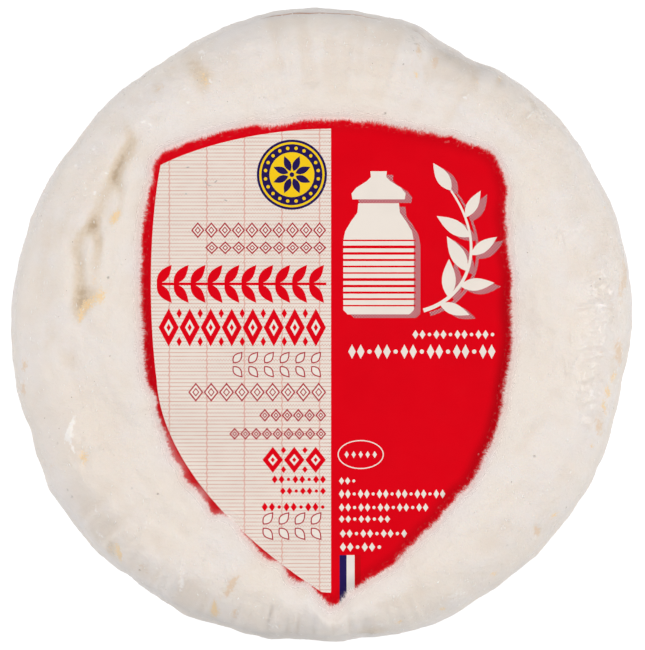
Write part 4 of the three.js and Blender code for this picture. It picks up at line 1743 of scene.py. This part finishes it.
@dataclass(frozen=True)
class Row:
    """A printed row: its motif, ink, box in millimetres and how many times the motif repeats."""

    motif: Motif
    ink: Ink
    left: float
    right: float
    bottom: float
    top: float
    count: int

    def shapes(self) -> list[tuple[Ink, Array]]:
        """The row's inked outlines, the lower ones first.

        Returns:
            Each with its ink.
        """
        step, tall = (self.right - self.left) / self.count, self.top - self.bottom
        middle, ground = (self.top + self.bottom) / 2.0, Ink.CREAM
        shapes: list[tuple[Ink, Array]] = []
        if self.motif is Motif.GARLAND:
            thin = 0.035 * tall
            shapes.append((self.ink, bar(self.left, middle - thin, self.right, middle + thin)))
        for i in range(self.count):
            x = self.left + (i + 0.5) * step
            if self.motif is Motif.LINKS:
                outline = lozenge(x, middle, step * 0.98, tall)
                shapes += [(self.ink, outline), (ground, inset(outline, 0.27))]
                if step > 2.0:
                    core = lozenge(x, middle, step * 0.46, tall * 0.46)
                    shapes += [(self.ink, core), (ground, inset(core, 0.2))]
            elif self.motif is Motif.GARLAND:
                pair = (
                    leaf(x - 0.52 * step, middle, tall * 0.62, tall * 0.25, lean) for lean in (52.0, -52.0)
                )
                shapes += [(self.ink, one) for one in pair]
            elif self.motif is Motif.DIAPER:
                for ink, share in ((self.ink, None), (ground, 0.44), (self.ink, 0.2)):
                    wide, high = (step * share, tall * share) if share else (step * 0.96, tall)
                    shapes.append((ink, lozenge(x, middle, wide, high)))
                between = (self.bottom + 0.13 * tall, self.top - 0.13 * tall) if i else ()
                shapes += [(self.ink, lozenge(x - step / 2, y, step * 0.26, tall * 0.26)) for y in between]
            elif self.motif is Motif.BEADS:
                made = lozenge(x, middle, step * 0.86, tall * 0.9)
                if i % 3 == 2:
                    made = disc(x, middle, min(step * 0.36, tall * 0.42) * 0.7, None, 12)
                shapes.append((self.ink, made))
            elif self.motif is Motif.SPRAY:
                for side in (1.0, -1.0):
                    y = middle + 0.06 * tall * side
                    outline = leaf(x - 0.45 * step, y, tall * 0.62, tall * 0.36, 50.0 * side)
                    shapes += [(self.ink, outline), (ground, inset(outline, 0.24))]
        return shapes


@dataclass
class Label:
    """The printed paper: a red shield, half of it a cream panel with rows of plain ornament."""

    rind: Rind
    thickness: float = 0.12
    grid: float = 2.2
    split: float = 1.76
    shadow_shift: Point = (1.35, -0.75)
    rows: tuple[Row, ...] = (
        Row(Motif.LINKS, Ink.LINE, -27.2, 0.8, 17.95, 21.27, 10),
        Row(Motif.LINKS, Ink.LINE, -24.3, 0.8, 14.63, 17.33, 9),
        Row(Motif.GARLAND, Ink.RED, -34.2, 0.8, 4.46, 12.55, 10),
        Row(Motif.DIAPER, Ink.RED, -34, 0.8, -4.46, 3.42, 8),
        Row(Motif.SPRAY, Ink.LINE, -18.7, 0.8, -10.69, -5.71, 6),
        Row(Motif.LINKS, Ink.LINE, -27.8, 0.8, -15.87, -11.93, 9),
        Row(Motif.LINKS, Ink.LINE, -13.1, 0.8, -20.02, -17.33, 6),
        Row(Motif.LINKS, Ink.LINE, -19.3, 0.8, -23.76, -21.27, 9),
        Row(Motif.DIAPER, Ink.RED, -12.5, 0.8, -30.6, -25.2, 3),
        Row(Motif.BEADS, Ink.RED, -10.6, 0.8, -32.9, -31, 8),
        Row(Motif.BEADS, Ink.RED, -8.9, 0.8, -35.2, -33.5, 7),
        Row(Motif.BEADS, Ink.RED, -12.7, 0.8, -38.7, -36.6, 9),
        Row(Motif.SPRAY, Ink.LINE, -12.5, 0.8, -44.3, -38.9, 4),
        Row(Motif.BEADS, Ink.CREAM, 18.5, 35.9, -3, -0.93, 12),
        Row(Motif.BEADS, Ink.CREAM, 5.2, 35.9, -7.16, -3.84, 17),
        Row(Motif.BEADS, Ink.CREAM, 3.3, 7.1, -33.1, -31.4, 3),
        Row(Motif.BEADS, Ink.CREAM, 3.3, 25.5, -36, -33.9, 17),
        Row(Motif.BEADS, Ink.CREAM, 3.3, 22, -38.7, -36.8, 14),
        Row(Motif.BEADS, Ink.CREAM, 3.3, 14.1, -41, -39.3, 8),
        Row(Motif.BEADS, Ink.CREAM, 3.5, 17.6, -44.1, -42.2, 10),
        Row(Motif.BEADS, Ink.CREAM, 3.5, 12.5, -47, -44.9, 6),
    )
    stripes: tuple[tuple[Ink, float, float], ...] = (
        (Ink.NAVY, 3.53, 4.98), (Ink.WHITE, 4.98, 6.64), (Ink.CRIMSON, 6.64, 7.9),
    )
    stripe_top: float = -47.6

    scuffs: tuple[tuple[float, ...], ...] = (
        (-28.2, 32.5, 0.7, 0.28, 20), (-22.4, 29.4, 0.9, 0.22, 40), (-28.2, 26.9, 0.5, 0.3, 100),
        (-19.7, 25.6, 0.8, 0.26, 150), (-24.4, 29.9, 1.2, 0.16, 300), (-24, 29, 1.1, 0.16, 350),
    )

    def _panel(self) -> Array:
        """The cream panel's outline.

        Returns:
            The outline in millimetres.
        """
        left = self.rind.paper.half_panel()
        left = left[left[:, 0] < self.split - 0.2]
        top, bottom = left[0] * (0, 1) + (self.split, 0.05), left[-1] * (0, 1) + (self.split, -0.12)
        return np.concatenate([[top], left, [bottom]])

    @staticmethod
    def _rosette(x: float, y: float, radius: float) -> list[tuple[Ink, Array]]:
        """A round badge with eight plain petals.

        Args:
            x: Its middle, along +X.
            y: Its middle, along +Y.
            radius: Its radius.

        Returns:
            Its inked outlines.
        """
        shapes = [(Ink.NAVY, disc(x, y, radius, None, 72)), (Ink.YELLOW, disc(x, y, radius * 0.93, None, 72))]
        shapes.append((Ink.NAVY, disc(x, y, radius * 0.87, None, 72)))
        for i in range(20):
            way = math.tau * (i + 0.5) / 20
            bead = (x + math.cos(way) * radius * 0.76, y + math.sin(way) * radius * 0.76)
            shapes.append((Ink.YELLOW, disc(*bead, 0.36, None, 12)))
        shapes.append((Ink.YELLOW, disc(x, y, radius * 0.64, None, 60)))
        for i in range(8):
            way = 45.0 * i + 22.5
            foot = x + math.cos(math.radians(way)) * 0.8, y + math.sin(math.radians(way)) * 0.8
            shapes.append((Ink.NAVY, leaf(*foot, radius * 0.46, radius * 0.2, way)))
        shapes.append((Ink.NAVY, disc(x, y, 0.5, None, 16)))
        return shapes

    @staticmethod
    def _churn(x: float, bottom: float) -> list[Array]:
        """A milk churn: its body, collar and lid.

        Args:
            x: Its middle.
            bottom: Where it stands.

        Returns:
            The outlines.
        """
        half = [
            (0, 0), (6.4, 0), (7.3, 0.9), (7.3, 15.2), (6.9, 17.2), (5.6, 19.4), (4.4, 21), (4.2, 23), (0, 23)
        ]
        body = half + [(-a, b) for a, b in half[-2:0:-1]]
        side = [(5.4, 23.8), (5.6, 25), (4.6, 26.2), (2.4, 27.6), (1.6, 28.4), (1.7, 29.6)]
        lid = side + [(-a, b) for a, b in side[::-1]]
        return [np.array(body) + (x, bottom), np.array(lid) + (x, bottom)]

    @staticmethod
    def _sprig() -> list[Array]:
        """A curved sprig of large leaves, its stem first.

        Returns:
            The outlines.
        """
        t = np.linspace(0.0, 1.0, 25)[:, None]
        line = bezier(((20.9, 3.0), (30.5, 5.7), (34.4, 16.5), (26.6, 27.8)), t)
        way = unit(np.gradient(line, axis=0))
        aside = -rightwards(way) * np.linspace(0.42, 0.2, 25)[:, None]
        shapes = [np.concatenate([line - aside, (line + aside)[::-1]])]
        degrees = facing(*way.T)
        leaves = (
            (3, -1, 6.6), (5, 1, 8), (8, -1, 7.2), (11, 1, 8.4), (14, -1, 6.6), (17, 1, 8.2), (20, -1, 6.4)
        )
        for i, side, long in leaves:
            shapes.append(leaf(*line[i], long, long * 0.36, degrees[i] + 50.0 * side))
        shapes.append(leaf(*line[-1], 6.8, 2.7, degrees[-1]))
        return shapes

    def _emblem(self) -> list[tuple[Ink, Array]]:
        """A striped churn and a sprig, over their own shift in a rose tone.

        Returns:
            The inked outlines.
        """
        churn, sprig = self._churn(11.6, 2.2), self._sprig()
        shapes = [(Ink.ROSE, s + self.shadow_shift) for s in churn + sprig]
        shapes += [(Ink.CREAM, s) for s in churn + sprig]
        for i in range(11):
            y = 4.0 + 1.35 * i
            thick = 0.16 + 0.035 * (i % 5)
            shapes.append((Ink.RED, bar(3.9, y - thick, 19.3, y + thick)))
        return shapes

    def shapes(self) -> list[tuple[Ink, Array]]:
        """Every inked outline, the lower ones first. The first is the paper's own.

        Returns:
            Each with its ink.
        """
        shapes = [(Ink.RED, self.rind.paper.outline()), (Ink.PANEL, self._panel())]
        shapes += self._rosette(-6.33, 31.1, 7.26)
        shapes += self._emblem()
        for row in self.rows:
            for ink, outline in row.shapes():
                on_red = row.left > self.split
                shapes.append((Ink.RED if on_red and ink is not row.ink else ink, outline))
        oval = disc(7.9, -26.8, 4.78, 3.0, 48)
        shapes += [(Ink.CREAM, oval), (Ink.RED, disc(7.9, -26.8, 4.56, 2.78, 48))]
        for i in range(5):
            shapes.append((Ink.CREAM, lozenge(7.9 + 1.45 * (i - 2), -26.8, 0.9, 1.5)))
        for ink, left, right in self.stripes:
            shapes.append((ink, bar(left, -60.0, right, self.stripe_top)))
        return shapes + [(Ink.DUST, leaf(*place)) for place in self.scuffs]

    def skin(self) -> tuple[Skin, list[Ink]]:
        """The paper as a thin solid.

        Returns:
            Its skin, and each face's ink.
        """
        shapes = self.shapes()
        outlines = [divided(outline) for _, outline in shapes]
        starts = np.cumsum([0, *(len(o) for o in outlines)])
        loops = [list(range(start, start + len(o))) for start, o in zip(starts, outlines)]
        reach = np.arange(-60.0, 60.0, self.grid)
        x, y = (a.ravel() for a in np.meshgrid(reach[np.abs(reach) < 46], reach))
        inside = np.hypot(x, y) < self.rind.paper.paper_radius(facing(x, y)) - 0.4
        degrees = np.arange(0.0, 360.0, 1.25)
        way = np.radians(degrees)
        edge, slant = self.rind.paper.rind_edge(degrees), self.rind.paper.slant(degrees)
        # Rings of points inside the rind's edge, so that the painted lip shadow fades smoothly
        bands = [polar(edge - inwards / slant, way) for inwards in (0.0, 0.6, 1.2, 1.8, 2.4, 3.0, 3.7)]
        places = np.concatenate([*outlines, np.column_stack([x, y])[inside], *bands])
        result = delaunay_2d_cdt([Vector(p) for p in places], [], loops, 1, 1e-5)
        flat = np.array([tuple(p) for p in result[0]])
        inks, faces = [], []
        for face, over in zip(result[2], result[5]):
            if 0 in over:
                faces.append(tuple(face))
                inks.append(shapes[max(over)][0])
        return self._thicken(flat, faces, inks)

    def _thicken(self, flat: Array, faces: Faces, inks: list[Ink]) -> tuple[Skin, list[Ink]]:
        """Lays the flat net on the hollow and gives it an underside and an edge.

        Args:
            flat: The net's points.
            faces: Its faces.
            inks: Each face's ink.

        Returns:
            The skin, and each face's ink.
        """
        used = sorted({i for f in faces for i in f})
        number = {old: new for new, old in enumerate(used)}
        faces = [tuple(number[i] for i in f) for f in faces]
        x, y = flat[used].T
        top = np.column_stack([x, y, self.rind.label_height(x, y)])
        sides = {(a, b) for f in faces for a, b in zip(f, (*f[1:], f[0]))}
        rim = [(a, b) for a, b in sides if (b, a) not in sides]
        count = len(top)
        under = [tuple(count + i for i in reversed(f)) for f in faces]
        wall = [(b, a, count + a, count + b) for a, b in sorted(rim)]
        # The painted shadow of the rind's lip, for the inks to read
        damp = np.tile(self.rind.paper.damp(x, y), 2)
        points = np.concatenate([top, top - (0.0, 0.0, self.thickness)])
        skin = Skin(points, faces + under + wall, {"damp": damp})
        return skin, inks + [Ink.BACK] * (len(under) + len(wall))

    def build(self, finishes: dict[Ink, Material]) -> Object:
        """Makes the piece.

        Args:
            finishes: A material for each ink.

        Returns:
            The finished label.
        """
        skin, inks = self.skin()
        made = skin.make(Piece.LABEL.value)
        order = list(finishes)
        for ink in order:
            made.data.materials.append(finishes[ink])
        made.data.polygons.foreach_set("material_index", [order.index(ink) for ink in inks])
        return hand_over(made, "label")


# The mould that gives out over the paper


@dataclass
class Veil:
    """A thin film of mould from under the rind's lip a little way in over the paper."""

    UV = "streaks"

    rind: Rind
    sides: int = 2600
    steady: int = 26
    rows: tuple[tuple[float, float], ...] = (
        (0.8, 0.06), (0.65, 0.06), (0.5, 0.055), (0.35, 0.05), (0.2, 0.045), (0.1, 0.045), (0, 0.05),
        (-0.15, 0.06), (-0.35, 0.06), (-0.6, 0.05), (-1, 0.04), (-1.5, 0.03), (-2.3, 0.03),
    )

    def build(self, finish: Material) -> Object:
        """Makes the piece.

        Args:
            finish: Its material.

        Returns:
            The finished veil.
        """
        degrees = np.arange(self.sides) * 360.0 / self.sides
        way = np.radians(degrees)
        edge = self.rind.edge_radius(degrees)
        ring = polar(edge, way)
        out = rightwards(unit(np.roll(ring, -self.steady, axis=0) - np.roll(ring, self.steady, axis=0)))
        steps = np.linalg.norm(np.diff(ring, axis=0, append=ring[:1]), axis=1)
        lengths = np.concatenate([[0.0], np.cumsum(steps)])
        points, uvs = [], []
        for offset, above in self.rows:
            x, y = (ring + out * offset).T
            past = np.hypot(x, y) - self.rind.edge_at(facing(x, y))
            ground = self.rind.top_height(x, y, past) if offset > 0.0 else self.rind.label_height(x, y)
            points.append(np.column_stack([x, y, ground + above]))
        faces = [tuple(reversed(q)) for q in ring_faces(len(self.rows), self.sides)]
        for (near, _), (far, _) in zip(self.rows, self.rows[1:]):
            v0, v1 = (-row - self.rind.draw_back for row in (near, far))
            for u0, u1 in zip(lengths, lengths[1:]):
                uvs += [(u1, v0), (u1, v1), (u0, v1), (u0, v0)]
        heavy = np.tile(swelling(self.rind.paper.heavier, degrees), len(self.rows))
        made = Skin(np.concatenate(points), faces, {"heavy": heavy}).make(Piece.VEIL.value)
        made.visible_shadow = made.visible_diffuse = made.visible_glossy = False
        made.data.uv_layers.new(name=self.UV).data.foreach_set("uv", np.array(uvs, dtype=np.float32).ravel())
        made.data.materials.append(finish)
        return hand_over(made)


@dataclass
class Hairs:
    """Short mould hairs that reach from the rind's lip over the paper."""

    rind: Rind
    count: int = 4200
    length: float = 0.55
    thickness: float = 0.02
    spread: float = 0.8
    seed: int = 5

    def _path(self) -> Object:
        """The line that the hairs stand along, with the way in from each of its points.

        Returns:
            A wire loop.
        """
        degrees = np.arange(1200) * 0.3
        way = np.radians(degrees)
        edge = self.rind.edge_radius(degrees)
        ring = polar(edge, way)
        z = self.rind.label_height(*ring.T) + 0.10
        along = unit(np.roll(ring, -1, axis=0) - np.roll(ring, 1, axis=0))
        mesh = bpy.data.meshes.new(Piece.HAIRS.value)
        loop = [(i, (i + 1) % len(ring)) for i in range(len(ring))]
        mesh.from_pydata((np.column_stack([ring, z]) + OFFSET) * MM, loop, [])
        inwards = np.column_stack([-rightwards(along), np.zeros(len(ring))]).astype(np.float32)
        mesh.attributes.new("inwards", "FLOAT_VECTOR", "POINT").data.foreach_set("vector", inwards.ravel())
        return linked(Piece.HAIRS.value, mesh)

    def build(self, finish: Material) -> Object:
        """Makes the piece.

        Args:
            finish: Its material.

        Returns:
            The finished hairs.
        """
        growth = Growth("mould_hairs", self)
        w, given = growth.wiring, growth.given
        curve = w.out("GeometryNodeMeshToCurve", {0: given["Geometry"]})
        resampled = w.out("GeometryNodeResampleCurve", {"Curve": curve, "Count": given["Count"]})
        points = w.out("GeometryNodeCurveToPoints", {0: resampled}, mode="EVALUATED")
        inwards = growth.attribute("inwards", "FLOAT_VECTOR")
        start = w.times(growth.chance(0.05, 0.5, 1), MM)
        rise = w.joined(z=w.times(growth.chance(-0.08, 0.03, 2), MM))
        shift = w.vector("ADD", w.scaled(inwards, start), rise)
        points = w.out("GeometryNodeSetPosition", {"Geometry": points, "Offset": shift})
        hair = self._hair(w, given)
        aim = w.out("FunctionNodeAlignRotationToVector", {"Vector": inwards}, axis="X", pivot_axis="Z")
        yaw = w.times(growth.chance(-1.0, 1.0, 3), given["Spread"])
        pitch = growth.chance(-0.05, 0.16, 4)
        turn = w.joined(y=w.times(pitch, -1.0), z=yaw)
        aim = w.out("FunctionNodeRotateRotation", {0: aim, 1: turn}, rotation_space="LOCAL")
        size = w.times(growth.chance(0.35, 1.25, 6), MM)
        growth.end(w.placed(points, hair, aim, size))
        made = self._path()
        made.visible_shadow = False
        growth.run(made, finish)
        made.data.shade_smooth()
        return hand_over(made)

    @staticmethod
    def _hair(w: Wiring, given: object) -> Socket:
        """One hair, a bent three-sided thread that points along +X.

        Args:
            w: The tree's wiring.
            given: Its inputs.

        Returns:
            The thread.
        """
        length = given["Length"]
        middle = w.joined(w.times(length, 0.5), w.times(length, 0.16), w.times(length, 0.10))
        end = w.joined(length, 0.0, w.times(length, -0.04))
        line = w.out(
            "GeometryNodeCurveQuadraticBezier",
            {"Resolution": 2, "Start": (0, 0, 0), "Middle": middle, "End": end},
        )
        ring = w.out(
            "GeometryNodeCurvePrimitiveCircle", {"Resolution": 3, "Radius": given["Thickness"]}, mode="RADIUS"
        )
        return w.out("GeometryNodeCurveToMesh", {"Curve": line, "Profile Curve": ring})


@dataclass
class Flecks:
    """Small things scattered over the rind: raised flakes of dry mould, whitened as painted glints, or the
    mouths of pores, darkened as painted shade.
    """

    piece: Piece
    density: float = 0.17
    long: float = 0.74
    wide: float = 0.20
    tall: float = 0.14
    seed: int = 9

    def build(self, rind: Object, finish: Material) -> Object:
        """Makes the piece.

        Args:
            rind: The finished rind, which the flakes lie on.
            finish: Their material.

        Returns:
            The finished flecks.
        """
        growth = Growth(self.piece.value, self)
        w, given = growth.wiring, growth.given
        patch = w.noise(w.scaled(w.out("GeometryNodeInputPosition"), 1.0 / MM), 9.0, 2.0)
        share = w.times(growth.attribute("lively"), w.ramp(patch, 0.4, 0.65, 0.15, 1.0))
        density = w.times(share, given["Density"], 1.0 / MM**2)
        inputs = {"Mesh": given["Geometry"], "Density": density, "Seed": given["Seed"]}
        spread = w.node("GeometryNodeDistributePointsOnFaces", inputs)
        flake = w.out("GeometryNodeMeshIcoSphere", {"Radius": 0.5 * MM, "Subdivisions": 1})
        size = w.joined(
            w.times(given["Long"], growth.chance(0.3, 1.5, 1)),
            w.times(given["Wide"], growth.chance(0.6, 1.4, 2)),
            w.times(given["Tall"], growth.chance(0.6, 1.6, 3)),
        )
        up = w.out("FunctionNodeAlignRotationToVector", {"Vector": spread.outputs["Normal"]}, axis="Z")
        way = w.joined(growth.chance(-0.75, 0.75, 4), 1.0)
        turn = w.out(
            "FunctionNodeAlignRotationToVector", {"Rotation": up, "Vector": way}, axis="X", pivot_axis="Z"
        )
        growth.end(w.placed(spread.outputs[0], flake, turn, size))
        made = linked(self.piece.value, rind.data.copy())
        growth.run(made, finish)
        made.data.shade_smooth()
        return hand_over(made)


# The stage


@dataclass(frozen=True)
class Lamp:
    """A square soft light: the way to it, its power, its width in metres and its colour."""

    name: str
    towards: tuple[float, float, float]
    power: float
    size: float
    colour: Colour


@dataclass
class Studio:
    """A pale floor, soft light and a camera that looks straight down."""

    distance: float = 5.6
    frame_width: float = 133.84
    middle: Point = (0.05, -0.137)
    lamps: tuple[Lamp, ...] = (
        Lamp("key", (0.90, -0.02, 0.56), 3.9, 0.22, (1.0, 0.98, 0.95)),
        Lamp("fill", (-0.95, 0.16, 0.62), 4.0, 0.50, (0.99, 0.99, 1.0)),
        Lamp("top", (0.05, 0.0, 1.0), 9.05, 0.90, (1.0, 0.99, 0.975)),
    )
    reach: float = 1.2
    ambient: float = 0.16
    floor_half: float = 3.0
    floor_drop: float = 0.0002

    def build(self) -> None:
        """Makes the floor, the lights and the camera, and sets the colours to be shown plainly."""
        self._floor()
        self._lights()
        self._camera()
        bpy.context.scene.view_settings.view_transform = "Standard"

    def _floor(self) -> None:
        """The floor."""
        mesh = bpy.data.meshes.new("floor")
        corners = bar(-self.floor_half, -self.floor_half, self.floor_half, self.floor_half)
        mesh.from_pydata([(x, y, -self.floor_drop) for x, y in corners], [], [(0, 1, 2, 3)])
        mesh.materials.append(floor_material())
        made = linked("floor", mesh)

    def _lights(self) -> None:
        """Soft lights from the right, the left and above, and even light from all round."""
        world = bpy.data.worlds.new("studio")
        world.use_nodes = True
        background = world.node_tree.nodes["Background"]
        background.inputs["Color"].default_value = (0.97, 0.985, 1.0, 1.0)
        background.inputs["Strength"].default_value = self.ambient
        bpy.context.scene.world = world
        for lamp in self.lamps:
            light = bpy.data.lights.new(lamp.name, "AREA")
            light.energy, light.size, light.color = lamp.power, lamp.size, lamp.colour
            made, place = linked(lamp.name, light), Vector(lamp.towards).normalized()
            made.location = place * self.reach
            made.rotation_euler = place.to_track_quat("Z", "Y").to_euler()

    def _camera(self) -> None:
        """The camera, over the middle of the wheel."""
        lens = bpy.data.cameras.new("camera")
        lens.sensor_width = 8.0
        lens.lens = lens.sensor_width * self.distance / (self.frame_width * MM)
        lens.sensor_fit = "HORIZONTAL"
        made = linked("camera", lens)
        made.location = (self.middle[0] * MM, self.middle[1] * MM, self.distance + 0.02)
        bpy.context.scene.camera = made


def main() -> None:
    """Builds the cheese and its stage, in order."""
    logging.basicConfig(level=logging.INFO, format="%(name)s %(message)s")
    effects = Effects()
    Studio().build()
    rind = Rind(WheelShape(), PaperShape(), Relief())
    wheel = rind.build(RindFinish().make(effects))
    Label(rind).build(PaperFinish().make(effects))
    mould = MouldFinish()
    Veil(rind).build(mould.make_veil(effects))
    hair = mould.make_hair(effects)
    Hairs(rind).build(hair)
    # The flakes take the hairs' whiter finish, as painted glints
    Flecks(Piece.FLECKS).build(wheel, hair)
    # Tiny discs painted dark as the shade in the pores' mouths
    pores = Flecks(Piece.PORES, density=0.011, long=0.24, wide=0.16, tall=0.03, seed=21)
    pores.build(wheel, mould.make_pore_shade())


if __name__ == "__main__":
    main()
